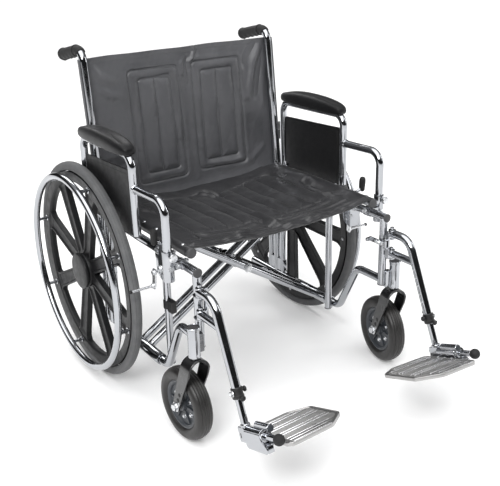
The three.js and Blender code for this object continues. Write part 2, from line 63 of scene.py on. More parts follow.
def centre_of(node):
    low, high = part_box(node)
    return (Vector(low) + Vector(high)) / 2


AXLE_Y = centre_of("rear_tyre_right").y / MM  # the rear axle line in the row frame

# ---------------------------------------------------------------- driving dimensions, mm
TUBE_R = 11.1
ARM_TUBE_R = 10.5
FRAME_X = 295
LOWER_RAIL_X, LOWER_RAIL_Z = 291, 122
SIDE_TUBE_Z = 452
FRONT_POST = (292, -493)
MID_POST = (268.5, -293)
WHEEL_R, WHEEL_X, TYRE_R = 305, 357.6, 12.5
RIM_R = 279
HANDRIM_X, HANDRIM_R, HANDRIM_TUBE = 42.6, 271.4, 9.5
WHEEL_PHASE = {"right": 0, "left": 18}
CASTER_X, CASTER_Y, CASTER_TRAIL, CASTER_R, CASTER_W = 321, -512.5, 51, 95.2, 23.3
CASTER_YAW = {"right": -11.5, "left": 2.4}
ARM_X, ARM_REAR_Y, ARM_FRONT_Y, ARM_STEP_Y = 331, 8, -276, -429
CANE_X, CANE_FOOT_Z, CANE_TOP_Z, CANE_LEAN = 296, 492, 899, 42
SEAT_RAIL_X, SEAT_RAIL_Z, SEAT_RAIL_R = 283, 484, 10.5
SEAT_REAR_Y, SEAT_FRONT_Y = -14, -456
HANGER_X, HANGER_Y = 301, -517
LEG_CORNER, LEG_END = Vector((302, -580, 413)), Vector((302, -671, 205))
HINGE = Vector((303, -760, 158.5))
HINGE_RISE = math.radians(21)
PLATE_TILT = math.radians(2)
LOCK_PIVOT, SHOE_PIVOT = Vector((310, -350, 415)), Vector((318, -330, 400))

X, Y, Z = Vector((1, 0, 0)), Vector((0, 1, 0)), Vector((0, 0, 1))
ORIGIN = (0, 0, 0)


def cane_lean(z):
    """How far back the push cane has leant at a height."""
    return (z - CANE_FOOT_Z) * CANE_LEAN / (CANE_TOP_Z - CANE_FOOT_Z)


# ---------------------------------------------------------------- shapes: each returns (points, faces)
def arc_path(corners, bend, step=7):
    """Corner points with every inner corner turned into an arc of radius bend."""
    corners = [Vector(c) for c in corners]
    points = [corners[0]]
    for i in range(1, len(corners) - 1):
        back = (corners[i - 1] - corners[i]).normalized()
        ahead = (corners[i + 1] - corners[i]).normalized()
        half = back.angle(ahead) / 2
        centre = corners[i] + (back + ahead).normalized() * (bend / math.sin(half))
        start = corners[i] + back * (bend / math.tan(half)) - centre
        end = corners[i] + ahead * (bend / math.tan(half)) - centre
        sweep = start.angle(end)
        axis = start.cross(end).normalized()
        steps = max(2, math.ceil(math.degrees(sweep) / step))
        points += [centre + Matrix.Rotation(sweep * k / steps, 3, axis) @ start for k in range(steps + 1)]
    return points + [corners[-1]]


def stacked(count, layers):
    """The faces of equal rings of points one after another, with a flat face at each end."""
    faces = []
    for i in range(layers - 1):
        for k in range(count):
            j = (k + 1) % count
            faces.append((i * count + k, i * count + j, (i + 1) * count + j, (i + 1) * count + k))
    last = (layers - 1) * count
    return faces + [tuple(reversed(range(count))), tuple(range(last, last + count))]


def ring_faces(rings, closed=False):
    """The faces between rings of point numbers, where a ring of one point is a pole."""
    pairs = list(zip(rings, rings[1:]))
    if closed:
        pairs.append((rings[-1], rings[0]))
    faces = []
    for a, b in pairs:
        count = max(len(a), len(b))
        for k in range(count if count > 1 else 0):
            j = (k + 1) % count
            if len(a) == 1:
                faces.append((a[0], b[j], b[k]))
            elif len(b) == 1:
                faces.append((a[k], a[j], b[0]))
            else:
                faces.append((a[k], a[j], b[j], b[k]))
    return faces


def tube(points, radius, sides=28, chamfer=0.8):
    """A round bar along points, with slightly rounded ends."""
    points = [Vector(p) for p in points]
    first, last = (points[1] - points[0]).normalized(), (points[-1] - points[-2]).normalized()
    stations = [(points[0], radius - chamfer), (points[0] + first * chamfer, radius)]
    stations += [(p, radius) for p in points[1:-1]]
    stations += [(points[-1] - last * chamfer, radius), (points[-1], radius - chamfer)]
    tangents = []
    for i in range(len(stations)):
        a = stations[max(i - 1, 0)][0]
        b = stations[min(i + 1, len(stations) - 1)][0]
        tangents.append((b - a).normalized())
    side = tangents[0].orthogonal().normalized()
    verts = []
    for (centre, r), tangent in zip(stations, tangents):
        side = (side - tangent * side.dot(tangent)).normalized()
        other = tangent.cross(side)
        for k in range(sides):
            a = 2 * math.pi * k / sides
            verts.append(centre + (side * math.cos(a) + other * math.sin(a)) * r)
    return verts, stacked(sides, len(stations))


def rod(start, end, radius, sides=24, chamfer=0.6):
    return tube([start, end], radius, sides, chamfer)


def turned(profile, centre=ORIGIN, direction=Z, segments=64, closed=False):
    """[radius, along] points turned about direction through centre."""
    centre, direction = Vector(centre), Vector(direction).normalized()
    u = direction.orthogonal().normalized()
    w = direction.cross(u)
    verts, rings = [], []
    for radius, along in profile:
        base = centre + direction * along
        if radius < 1e-6:
            rings.append([len(verts)])
            verts.append(base)
            continue
        rings.append(list(range(len(verts), len(verts) + segments)))
        for k in range(segments):
            a = 2 * math.pi * k / segments
            verts.append(base + (u * math.cos(a) + w * math.sin(a)) * radius)
    return verts, ring_faces(rings, closed)


def collar(centre, direction, inner, outer, low, high, rounding=0.8, segments=40):
    """A plain ring with softened edges, from low to high along direction."""
    profile = [(inner, low), (outer, low), (outer, high), (inner, high)]
    return turned(soften(profile, rounding, 2), centre, direction, segments, closed=True)


def knob(profile, centre, direction, rounding, segments, steps=2):
    """A turned end: an open profile from the axis back to the axis, with its corners softened."""
    return turned(soften(profile, rounding, steps, closed=False), centre, direction, segments)


def soften(points, radius, steps=3, closed=True):
    """The outline with each corner rounded by an arc of about the given radius."""
    points = [Vector(p) for p in points]
    count = len(points)
    out = []
    for i in range(count):
        if not closed and i in (0, count - 1):
            out.append(points[i])
            continue
        before, here, after = points[i - 1], points[i], points[(i + 1) % count]
        r = min(radius, (before - here).length * 0.45, (after - here).length * 0.45)
        a = here + (before - here).normalized() * r
        b = here + (after - here).normalized() * r
        for k in range(steps + 1):
            t = k / steps
            out.append(a * (1 - t) ** 2 + here * 2 * t * (1 - t) + b * t ** 2)
    return out


def inset(outline, distance):
    """Moves a flat closed outline inwards."""
    count = len(outline)
    area = sum(outline[i - 1].x * outline[i].y - outline[i].x * outline[i - 1].y for i in range(count))
    sign = 1 if area > 0 else -1
    out = []
    for i in range(count):
        before = (outline[i] - outline[i - 1]).normalized()
        after = (outline[(i + 1) % count] - outline[i]).normalized()
        mean = before + after
        if mean.length < 1e-6:
            mean = before
        mean.normalize()
        out.append(outline[i] + Vector((-mean.y, mean.x)) * distance * sign)
    return out


def slab(outline, origin, u, v, thickness, chamfer=0.6):
    """A plate with chamfered edges: outline in the u, v plane, thickness along u x v, from origin on."""
    origin, u, v = Vector(origin), Vector(u), Vector(v)
    normal = u.cross(v).normalized()
    outline = [Vector(p).to_2d() if len(p) > 2 else Vector(p) for p in outline]
    small = inset(outline, chamfer)
    layers = [(small, 0), (outline, chamfer), (outline, thickness - chamfer), (small, thickness)]
    verts = []
    for points, height in layers:
        verts += [origin + u * p.x + v * p.y + normal * height for p in points]
    return verts, stacked(len(outline), len(layers))


def brick(low, high, radius=1.5, chamfer=0.8, normal="x"):
    """A rounded block between two corners; normal is the axis that its flat faces look along."""
    low, high = Vector(low), Vector(high)
    u, v, n = {"x": (Y, Z, X), "y": (Z, X, Y), "z": (X, Y, Z)}[normal]
    a, b = low.dot(u), low.dot(v)
    c, d = high.dot(u), high.dot(v)
    outline = soften([(a, b), (c, b), (c, d), (a, d)], radius)
    return slab(outline, n * low.dot(n), u, v, high.dot(n) - low.dot(n), chamfer)


def hex_head(centre, direction, across=13, height=6):
    """A hexagonal bolt head or nut with a washer under it."""
    direction = Vector(direction).normalized()
    u = direction.orthogonal().normalized()
    v = direction.cross(u)
    r = across / math.sqrt(3)
    corners = [math.radians(60 * k) for k in range(6)]
    outline = [(r * math.cos(a), r * math.sin(a)) for a in corners]
    base = Vector(centre) + direction * 1.2
    washer = turned([(0, 0), (across * 0.72, 0), (across * 0.76, 0.4), (across * 0.72, 1.2), (0, 1.2)],
                    centre, direction, 24)
    return [slab(outline, base, u, v, height, 0.7), washer]


def screw(centre, direction, radius=4, height=2.2):
    """A domed screw head with a small driver recess."""
    recess = radius * 0.35
    profile = [(0, height * 0.35), (recess, height * 0.4), (recess, height * 0.98),
               (radius * 0.7, height * 0.8), (radius, height * 0.25), (radius, 0), (0, 0)]
    return turned(profile, centre, direction, 20)


def end_plug(centre, direction, radius, length=3.5):
    """The plastic plug in an open tube end."""
    profile = [(0, -2), (radius + 0.4, -2), (radius + 0.5, 0), (radius + 0.3, length * 0.6),
               (radius * 0.82, length), (0, length + 0.4)]
    return knob(profile, centre, direction, 0.5, 32)


def moved(shape, rotation=None, offset=ORIGIN):
    verts, faces = shape
    offset = Vector(offset)
    if rotation is None:
        return [v + offset for v in verts], faces
    return [rotation @ v + offset for v in verts], faces


# ---------------------------------------------------------------- materials
def new_material(name, color, metallic=0.0, roughness=0.5, **sockets):
    material = bpy.data.materials.new(name + "_look")
    material.use_nodes = True
    tree = material.node_tree
    shader = tree.nodes["Principled BSDF"]
    shader.inputs["Base Color"].default_value = (*color, 1)
    shader.inputs["Metallic"].default_value = metallic
    shader.inputs["Roughness"].default_value = roughness
    for key, value in sockets.items():
        shader.inputs[key.replace("_", " ")].default_value = value
    return material, tree, shader


def node(tree, kind, **inputs):
    made = tree.nodes.new(kind)
    for key, value in inputs.items():
        made.inputs[key.replace("_", " ")].default_value = value
    return made


def noise_of(tree, scale, detail=4, roughness=0.55, stretch=None):
    coordinates = tree.nodes.new("ShaderNodeTexCoord")
    made = node(tree, "ShaderNodeTexNoise", Scale=scale, Detail=detail, Roughness=roughness)
    source = coordinates.outputs["Object"]
    if stretch:
        mapping = node(tree, "ShaderNodeMapping", Scale=stretch)
        tree.links.new(source, mapping.inputs["Vector"])
        source = mapping.outputs["Vector"]
    tree.links.new(source, made.inputs["Vector"])
    return made.outputs["Fac"]


def ramp(tree, source, low, high, to_low, to_high):
    made = node(tree, "ShaderNodeMapRange", From_Min=low, From_Max=high, To_Min=to_low, To_Max=to_high)
    tree.links.new(source, made.inputs["Value"])
    return made.outputs["Result"]


def mix_colors(tree, factor, first, second):
    made = tree.nodes.new("ShaderNodeMix")
    made.data_type = "RGBA"
    made.inputs["A"].default_value = (*first, 1)
    made.inputs["B"].default_value = (*second, 1)
    tree.links.new(factor, made.inputs["Factor"])
    return made.outputs["Result"]


def bump(tree, shader, height, strength, distance, after=None):
    made = node(tree, "ShaderNodeBump", Strength=strength, Distance=distance)
    tree.links.new(height, made.inputs["Height"])
    if after is not None:
        tree.links.new(after.outputs["Normal"], made.inputs["Normal"])
    tree.links.new(made.outputs["Normal"], shader.inputs["Normal"])
    return made


def vary_roughness(tree, shader, source, smooth, rough, low=0.3, high=0.7):
    tree.links.new(ramp(tree, source, low, high, smooth, rough), shader.inputs["Roughness"])


def vary_color(tree, shader, factor, first, second):
    tree.links.new(mix_colors(tree, factor, first, second), shader.inputs["Base Color"])


def chrome_material():
    material, tree, shader = new_material("chrome", (0.42, 0.43, 0.45), 1.0, 0.07)
    vary_roughness(tree, shader, noise_of(tree, 38, 5), 0.04, 0.16, 0.35, 0.75)
    bump(tree, shader, noise_of(tree, 60, 2), 0.05, 0.0006)
    return material


def steel_material():
    material, tree, shader = new_material("zinc_steel", (0.66, 0.67, 0.69), 1.0, 0.28)
    spots = noise_of(tree, 240, 4)
    vary_roughness(tree, shader, spots, 0.18, 0.38)
    vary_color(tree, shader, noise_of(tree, 60, 3), (0.55, 0.56, 0.58), (0.76, 0.77, 0.78))
    bump(tree, shader, spots, 0.15, 0.0003)
    return material


def aluminium_material():
    material, tree, shader = new_material("cast_aluminium", (0.4, 0.4, 0.4), 1.0, 0.34)
    grain = noise_of(tree, 420, 5, 0.6)
    cloud = noise_of(tree, 28, 4)
    vary_color(tree, shader, cloud, (0.34, 0.335, 0.33), (0.5, 0.495, 0.49))
    vary_roughness(tree, shader, cloud, 0.26, 0.42)
    bump(tree, shader, grain, 0.25, 0.0004)
    return material


def polished_material():
    material, tree, shader = new_material("polished_aluminium", (0.86, 0.86, 0.87), 1.0, 0.2)
    vary_roughness(tree, shader, noise_of(tree, 90, 4), 0.14, 0.3)
    bump(tree, shader, noise_of(tree, 500, 3), 0.05, 0.0002)
    return material


def plastic_material(name, color, roughness, grain_scale=900, grain=0.25, gloss=0.5):
    material, tree, shader = new_material(name, color, 0.0, roughness, Specular_IOR_Level=gloss)
    texture = noise_of(tree, grain_scale, 3)
    lighter = tuple(c * 1.5 + 0.004 for c in color)
    vary_color(tree, shader, noise_of(tree, 22, 5), color, lighter)
    vary_roughness(tree, shader, noise_of(tree, 55, 4), roughness - 0.07, roughness + 0.1)
    bump(tree, shader, texture, grain, 0.0004)
    return material


def paint_material():
    coat = {"Coat_Weight": 0.5, "Coat_Roughness": 0.08}
    material, tree, shader = new_material("black_paint", (0.003, 0.003, 0.0034), 0.0, 0.3, **coat)
    vary_roughness(tree, shader, noise_of(tree, 45, 4), 0.24, 0.42)
    bump(tree, shader, noise_of(tree, 500, 2), 0.1, 0.0003)
    return material


def rubber_material(name, color, scuffed, shine=0.0):
    material, tree, shader = new_material(name, color, 0.0, 0.72)
    dust = noise_of(tree, 30, 6, 0.65)
    vary_color(tree, shader, ramp(tree, dust, 0.35, 0.7, 0, 1), color, scuffed)
    vary_roughness(tree, shader, dust, 0.62 - shine, 0.85 - shine)
    bump(tree, shader, noise_of(tree, 700, 4), 0.3 - shine / 2, 0.0005)
    return material


def vinyl_material(name, dark, light, roughness, gloss=0.5):
    """Coated cloth: a fine pebble grain with small pores, duller where it is rubbed."""
    sheen = {"Sheen_Weight": 0.08, "Sheen_Roughness": 0.5, "Specular_IOR_Level": gloss}
    material, tree, shader = new_material(name, dark, 0.0, roughness, **sheen)
    coordinates = tree.nodes.new("ShaderNodeTexCoord")
    pebbles = node(tree, "ShaderNodeTexVoronoi", Scale=620)
    pebbles.feature = "SMOOTH_F1"
    tree.links.new(coordinates.outputs["Object"], pebbles.inputs["Vector"])
    worn = noise_of(tree, 9, 6, 0.6)
    vary_color(tree, shader, ramp(tree, worn, 0.3, 0.7, 0, 1), dark, light)
    vary_roughness(tree, shader, worn, roughness - 0.06, roughness + 0.08)
    first = bump(tree, shader, pebbles.outputs["Distance"], 0.28, 0.0006)
    bump(tree, shader, noise_of(tree, 70, 5), 0.22, 0.0018, after=first)
    return material


CHROME = chrome_material()
STEEL = steel_material()
ALUMINIUM = aluminium_material()
POLISHED = polished_material()
BLACK_PLASTIC = plastic_material("black_plastic", (0.005, 0.005, 0.0055), 0.5)
WHEEL_PLASTIC = plastic_material("wheel_plastic", (0.005, 0.005, 0.0057), 0.42, 1100, gloss=0.3)
PLUG_PLASTIC = plastic_material("plug_plastic", (0.038, 0.038, 0.04), 0.5)
SLATE = plastic_material("slate_hub", (0.032, 0.036, 0.042), 0.38, 800)
PAINT = paint_material()
GREY_TYRE = rubber_material("grey_tyre", (0.085, 0.087, 0.09), (0.13, 0.13, 0.132))
CASTER_TYRE = rubber_material("caster_tyre", (0.009, 0.0083, 0.008), (0.02, 0.0185, 0.0175), 0.3)
GRIP = rubber_material("grip_rubber", (0.006, 0.006, 0.0065), (0.014, 0.014, 0.014))
BACK_VINYL = vinyl_material("back_vinyl", (0.06, 0.061, 0.066), (0.09, 0.091, 0.098), 0.38)
SEAT_VINYL = vinyl_material("seat_vinyl", (0.01, 0.01, 0.0116), (0.019, 0.019, 0.021), 0.33, 0.6)
PAD_VINYL = vinyl_material("pad_vinyl", (0.003, 0.003, 0.0036), (0.005, 0.005, 0.006), 0.42, 0.2)


# ---------------------------------------------------------------- pieces
def link(made):
    bpy.context.scene.collection.objects.link(made)
    return made


def build(name, verts, faces, material, sharp):
    """A mesh object with its normals outwards, smooth except at its sharp edges."""
    mesh = bpy.data.meshes.new(name)
    mesh.from_pydata(verts, [], faces)
    work = bmesh.new()
    work.from_mesh(mesh)
    bmesh.ops.recalc_face_normals(work, faces=work.faces)
    work.to_mesh(mesh)
    work.free()
    mesh.polygons.foreach_set("use_smooth", [True] * len(mesh.polygons))
    mesh.set_sharp_from_angle(angle=math.radians(sharp))
    mesh.materials.append(material)
    return link(bpy.data.objects.new(name, mesh))


def piece(name, shapes, material, body, sign=1, stands_for=(), sharp=32):
    """One object made of one or more closed shapes, riding on a body."""
    verts, faces = [], []
    for points, polygons in shapes:
        start = len(verts)
        verts += [((p.x * sign) * MM, (p.y + AXLE_Y) * MM, p.z * MM) for p in points]
        faces += [tuple(i + start for i in polygon) for polygon in polygons]
    made = build(name, verts, faces, material, sharp)
    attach(made, body)
    if stands_for:
        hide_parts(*stands_for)
    return made


def putter(side, sign, body, place=None):
    """piece() for one side of the chair: put(name, shapes, material, *CAD nodes it stands for)."""
    def put(name, shapes, material, *nodes, sharp=32):
        placed = [place(shape) for shape in shapes] if place else shapes
        names = [f"{node}_{side}" for node in nodes]
        return piece(f"{name}_{side}_v", placed, material, body + side, sign, names, sharp)

    return put


# ---------------------------------------------------------------- side frame
CANE_CORNERS = [(CANE_X, 0, LOWER_RAIL_Z), (CANE_X, 0, CANE_FOOT_Z),
                (CANE_X, CANE_LEAN, CANE_TOP_Z), (CANE_X, 168, 873)]
CANE_PATH = arc_path(CANE_CORNERS, 30)
TUBE_FRONT = -502


def clamp_band(centre, direction, radius, width):
    """A thin split band round a tube."""
    return collar(centre, direction, radius + 0.2, radius + 2, 0, width, 0.5)


def side_frame(side, sign):
    put = putter(side, sign, "frame_")
    side_tube(put)
    posts(put)
    if side == "left":
        frame_stop(put)
    rail_corners = [(LOWER_RAIL_X, 128, LOWER_RAIL_Z), (LOWER_RAIL_X, -318, LOWER_RAIL_Z),
                    (LOWER_RAIL_X, -395, 272), (LOWER_RAIL_X, FRONT_POST[1], 272)]
    put("lower_rail", [tube(arc_path(rail_corners, 34), TUBE_R, 36)], CHROME, "lower_rail")
    rear_upright(put)
    push_grip(put)
    caster_housing(put)
    armrest_socket(put)
    wheel_axle(put)


def side_tube(put):
    x, z = FRAME_X, SIDE_TUBE_Z
    bracket = soften([(-312, 452), (-388, 452), (-376, 392), (-342, 378), (-316, 392)], 8, 4)
    shapes = [rod((x, -6, z), (x, TUBE_FRONT, z), TUBE_R, 36), slab(bracket, (301.5, 0, 0), Y, Z, 3.5)]
    put("side_tube", shapes, CHROME, "side_tube")

    lock, shoe = LOCK_PIVOT.yz, SHOE_PIVOT.yz
    bolts = hex_head((305, *lock), X, 12, 5) + hex_head((305, *shoe), X, 10, 4)
    bolts += [rod((300, *lock), (314, *lock), 4), rod((300, *shoe), (324, *shoe), 3.5)]
    for y in (-324, -376):
        bolts += hex_head((x - 8, y, z + 8), Vector((-0.7, 0, 0.7)), 10, 5)
        bolts.append(clamp_band((x, y - 7, z), Y, TUBE_R, 14))
    put("lock_bolts", bolts, STEEL)

    plugs = [end_plug((x, TUBE_FRONT, z), -Y, TUBE_R)]
    plugs.append(end_plug((LOWER_RAIL_X, 128, LOWER_RAIL_Z), Y, TUBE_R))
    plugs.append(end_plug((*FRONT_POST, 257), -Z, TUBE_R, 1.5))
    plugs.append(end_plug((*MID_POST, 112), -Z, 10, 1.5))
    put("tube_plugs", plugs, PLUG_PLASTIC)


def posts(put):
    """The front post with the lugs the legrest hangs on, and the middle post with its cradle."""
    x, y = FRONT_POST
    shapes = [rod((x, y, 257), (x, y, SIDE_TUBE_Z), TUBE_R, 36)]
    lug = [(x - 2, y), (x + 1, -517), (x + 3, -525), (308, -525), (311, -520), (308, y)]
    for z in (338, 396):
        shapes.append(slab(soften(lug, 4, 3), (0, 0, z), X, Y, 4))
        shapes.append(rod((HANGER_X, HANGER_Y, z + 1), (HANGER_X, HANGER_Y, z + 34), 5.5))
    put("front_post", shapes, CHROME, "front_post")

    x, y = MID_POST
    put("mid_post", [rod((x, y, 112), (x, y, 458), 10, 32)], CHROME, "mid_post")
    rail_x, rail_z = SEAT_RAIL_X, SEAT_RAIL_Z
    sweep = (math.pi * 1.02, math.pi * 1.98)
    arch = []
    for radius, angles in ((13.8, np.linspace(*sweep, 15)), (11, np.linspace(*sweep[::-1], 15))):
        arch += [(rail_x + radius * math.cos(a), rail_z + radius * math.sin(a)) for a in angles]
    saddle = slab(arch, (0, y + 16, 0), X, Z, 32, 0.5)
    block = brick((x - 9, y - 15, 452), (rail_x + 10, y + 15, 471.5), 3, 1)
    put("seat_rail_cradle", [saddle, block], BLACK_PLASTIC)


def frame_stop(put):
    x, y = MID_POST
    stop = brick((x - 8, y - 33, 269), (x + 8, y - 9, 302), 3, 1.5)
    put("frame_stop", [stop, clamp_band((x, y, 274), Z, 10, 22)], BLACK_PLASTIC)


def rear_upright(put):
    """The push cane, the two short posts and plates round the axle, and the rear armrest socket."""
    x = CANE_X
    shapes = [tube(CANE_PATH, TUBE_R, 36)]
    for y, top in ((-31, SIDE_TUBE_Z), (31, 446)):
        shapes.append(rod((x, y, LOWER_RAIL_Z), (x, y, top), 9, 28))
    shapes.append(rod((x, -4, 446), (x, 40, 446), 9, 28))
    plate = soften([(-41, 284), (41, 284), (41, 326), (-41, 326)], 7, 4)
    for lower in (0, -150):
        shapes.append(slab(plate, (x - 7, 0, lower), Y, Z, 14, 1))
    shapes.append(collar((x, 0, WHEEL_R), X, 8.4, 15, -14, 17))
    shapes.append(collar((ARM_X, ARM_REAR_Y, 0), Z, 10.9, 13.6, 404, 480))
    shapes.append(brick((x, ARM_REAR_Y - 9, 414), (ARM_X - 11, ARM_REAR_Y + 5, 434), 3, 1))
    put("rear_upright", shapes, CHROME, "rear_upright")
    heights = (520, 600, 690, 780, 858)
    put("back_screws", [screw((x, cane_lean(z) + 13.4, z), Y, 4.2) for z in heights], STEEL)


def push_grip(put):
    """A rubber handle with finger waves underneath and a flange at its open end."""
    start, end = CANE_PATH[-2], CANE_PATH[-1]
    along = (end - start).normalized()
    down = -along.cross(X).normalized()
    if down.z > 0:
        down.negate()
    length = (end - start).length + 12
    stations, sides = 64, 40
    verts = []
    for i in range(stations + 1):
        s = length * i / stations
        rounded = 1 - max(0, (s - length + 9) / 9) ** 2.4 * 0.55
        lip = 1.2 * math.exp(-((s - 3) / 2.6) ** 2) + 2.0 * math.exp(-((s - length + 12) / 6) ** 2)
        wave = 0.5 - 0.5 * math.cos(2 * math.pi * (s - 10) / 24)
        inside = 10 < s < length - 14
        for k in range(sides):
            a = 2 * math.pi * k / sides
            low = max(0.0, -math.cos(a)) ** 1.2
            radius = 15.2 + lip + (1.9 * wave * low if inside else 0)
            radius += 0.35 * math.cos(12 * a) * (1 if inside else 0)
            p = start + along * s + (-down * math.cos(a) + X * math.sin(a)) * radius * rounded
            verts.append(p)
    grip = (verts, stacked(sides, stations + 1))
    elbow = tube(CANE_PATH[-9:-1] + [start + along * 8], 13.9, 36, 1.8)
    put("push_grip", [grip, elbow], GRIP, "push_grip", sharp=40)


def caster_housing(put):
    x, y = CASTER_X, CASTER_Y
    shell = [(9, 246), (13.6, 246), (15, 248), (15, 252), (14.4, 253.5), (14.4, 314.5), (15, 316),
             (15, 321), (13.6, 322), (9, 322)]
    web = brick((FRONT_POST[0], y + 1, 252), (x - 11, y + 15, 300), 2, 1, "y")
    lip = [(13.7, 322), (15.8, 322), (16.2, 323), (16.2, 325.6), (15.4, 326.6), (14.2, 326.4), (13.7, 325.8)]
    parts = [turned(shape, (x, y, 0), Z, 48, closed=True) for shape in (shell, lip)]
    put("caster_housing", [*parts, web], CHROME, "caster_housing")
    cap = [(0, 322.2), (13.2, 322.2), (13.6, 323), (13.6, 324.6), (12.6, 325.6), (0, 326.2)]
    put("caster_cap", [turned(cap, (x, y, 0), Z, 48)], PLUG_PLASTIC, "caster_cap")


def armrest_socket(put):
    x, y = FRAME_X, ARM_STEP_Y
    parts = [collar((ARM_X, y, 0), Z, 10.9, 13.6, 416, 492)]
    parts.append(clamp_band((x, y - 12, SIDE_TUBE_Z), Y, TUBE_R, 24))
    parts.append(brick((x + 10, y - 11, 443), (ARM_X - 9, y + 11, 461), 2.5, 1))
    put("armrest_socket", parts, CHROME, "armrest_socket")
    bolts = hex_head((x + 16, y - 11, 452), -Y, 9, 4) + hex_head((x - 11, y, 456), -X, 10, 5)
    bolts += hex_head((ARM_X, y - 13.4, 450), -Y, 9, 3.5)
    put("armrest_socket_bolts", bolts, STEEL)


def wheel_axle(put):
    inner = FRAME_X - 13.4
    axle = [rod((inner - 12, 0, WHEEL_R), (WHEEL_X + 20, 0, WHEEL_R), 8, 28)]
    axle += hex_head((inner, 0, WHEEL_R), -X, 24, 9)
    washer = [(8.2, 0), (14, 0), (14, 2), (8.2, 2)]
    axle.append(turned(washer, (CANE_X + 17.3, 0, WHEEL_R), X, 32, closed=True))
    put("wheel_axle", axle, STEEL, "wheel_axle")


# ---------------------------------------------------------------- wheels
def rear_wheel(side, sign):
    put = putter(side, sign, "wheel_")
    centre = Vector((WHEEL_X, 0, WHEEL_R))
    phase = math.radians(WHEEL_PHASE[side])
    turns = [Matrix.Rotation(phase + k * math.pi / 4, 3, "X") for k in range(8)]

    def eight(shape):
        """One of these at each spoke."""
        return [moved(shape, turn, centre) for turn in turns]

    rear_tyre(put, centre)
    rim = [(252, -8.5), (255, -10.2), (272, -10.8), (RIM_R, -11.6), (RIM_R, 11.6), (272, 10.8),
           (255, 10.2), (252, 8.5), (250, 5), (250, -5)]
    hub = [(8.4, -38), (20, -38), (22, -36), (24, -18), (44, -15), (48, -11), (49, 0), (48, 14),
           (44, 18), (20, 20), (8.4, 20)]
    parts = [turned(soften(rim, 1.2, 2), centre, X, 144, closed=True)]
    parts.append(turned(soften(hub, 1.5, 3), centre, X, 72, closed=True))
    put("rear_wheel", parts + eight(spoke()), WHEEL_PLASTIC, "rear_wheel")
    cap = [(0, 19), (49, 19), (51, 21), (51, 26.5), (49.5, 28.5), (40, 30.4), (20, 31.6), (0, 32)]
    put("hub_cap", [knob(cap, centre, X, 1.2, 72)], WHEEL_PLASTIC)

    ring = []
    for k in range(28):
        a = 2 * math.pi * k / 28
        ring.append((HANDRIM_R + HANDRIM_TUBE * math.cos(a), HANDRIM_X + HANDRIM_TUBE * math.sin(a)))
    post = [(0, 10), (8.5, 10), (8.5, 13), (5, 14), (5, HANDRIM_X - 8), (0, HANDRIM_X - 8)]
    posts = eight(turned(post, (0, 0, HANDRIM_R - 4), X, 20))
    put("handrim", [turned(ring, centre, X, 144, closed=True), *posts], CHROME, "handrim")
    put("rim_screws", eight(screw((-11, 0, HANDRIM_R - 9), -X, 4.5, 2.5)), STEEL)


def rear_tyre(put, centre):
    """A squarish section with a shallow groove either side of the tread."""
    middle = WHEEL_R - TYRE_R
    profile = []
    for k in range(40):
        a = 2 * math.pi * k / 40
        c, s = math.cos(a), math.sin(a)
        r = middle + TYRE_R * math.copysign(abs(c) ** 0.72, c)
        along = TYRE_R * math.copysign(abs(s) ** 0.72, s)
        if c > 0:
            r -= 0.9 * math.exp(-((abs(along) - 5.2) / 0.8) ** 2)
        profile.append((r, along))
    put("rear_tyre", [turned(profile, centre, X, 144, closed=True)], GREY_TYRE, "rear_tyre")


def spoke():
    """A channelled blade along +Z, blending into the hub and the rim."""
    verts = []
    stations = [30, 40, 48, 60, 80, 110, 150, 190, 220, 232, 240, 247, 252, 256]
    rib, h = 4.5, 8.5
    for r in stations:
        half = 19 + 4 * (r - 38) / 224
        half += 16 * max(0, (r - 228) / 28) ** 2 + 9 * max(0, (60 - r) / 30) ** 2
        deep = 4.2 * min(1, max(0, (r - 46) / 12)) * min(1, max(0, (252 - r) / 12))
        edge = [(half, h - 1.2), (half - 1.2, h), (half - rib, h), (half - rib - 3, h - deep)]
        section = [(-a, -b) for a, b in edge] + [(a, -b) for a, b in reversed(edge)]
        section += edge + [(-a, b) for a, b in reversed(edge)]
        verts += [Vector((along, across, r)) for across, along in section]
    return verts, stacked(16, len(stations))


def caster(side, sign):
    swivel = Vector((CASTER_X, CASTER_Y, 0))
    yaw = Matrix.Rotation(math.radians(CASTER_YAW[side]) * sign, 3, "Z")
    centre = Vector((0, CASTER_TRAIL, CASTER_R))

    def place(shape):
        return moved(shape, yaw, swivel)

    caster_fork(putter(side, sign, "caster_fork_", place), centre)
    put = putter(side, sign, "caster_wheel_", place)
    caster_tyre(put, centre)
    caster_hub(put, centre)


def caster_fork(put, centre):
    put("caster_fork", [fork_strap()], PAINT, "caster_fork")
    washer = [(0, 244.6), (12, 244.6), (12, 245.8), (0, 245.8)]
    parts = [rod((0, 0, 240), (0, 0, 319), 8.6, 24), turned(washer, ORIGIN, Z, 32)]
    outer = CASTER_W + 8
    parts.append(rod((-outer - 3, *centre.yz), (outer + 3, *centre.yz), 5.5))
    parts += hex_head((outer, *centre.yz), X, 17, 7) + hex_head((-outer, *centre.yz), -X, 17, 7)
    put("caster_bolts", parts, STEEL)
    # Thin black rubber discs on the outside of each fork leg, where its two holes are: painted shade standing
    # in for the dark openings, which are not cut.
    painted_hole_shades = []
    for s in (-1, 1):
        for y, z in ((38, 120), (30, 138)):
            disc = [(0, 0), (5.4, 0), (5.4, 0.25), (0, 0.3)]
            painted_hole_shades.append(turned(disc, (s * (outer + 0.05), y, z), X * s, 20))
    put("fork_holes", painted_hole_shades, GRIP)


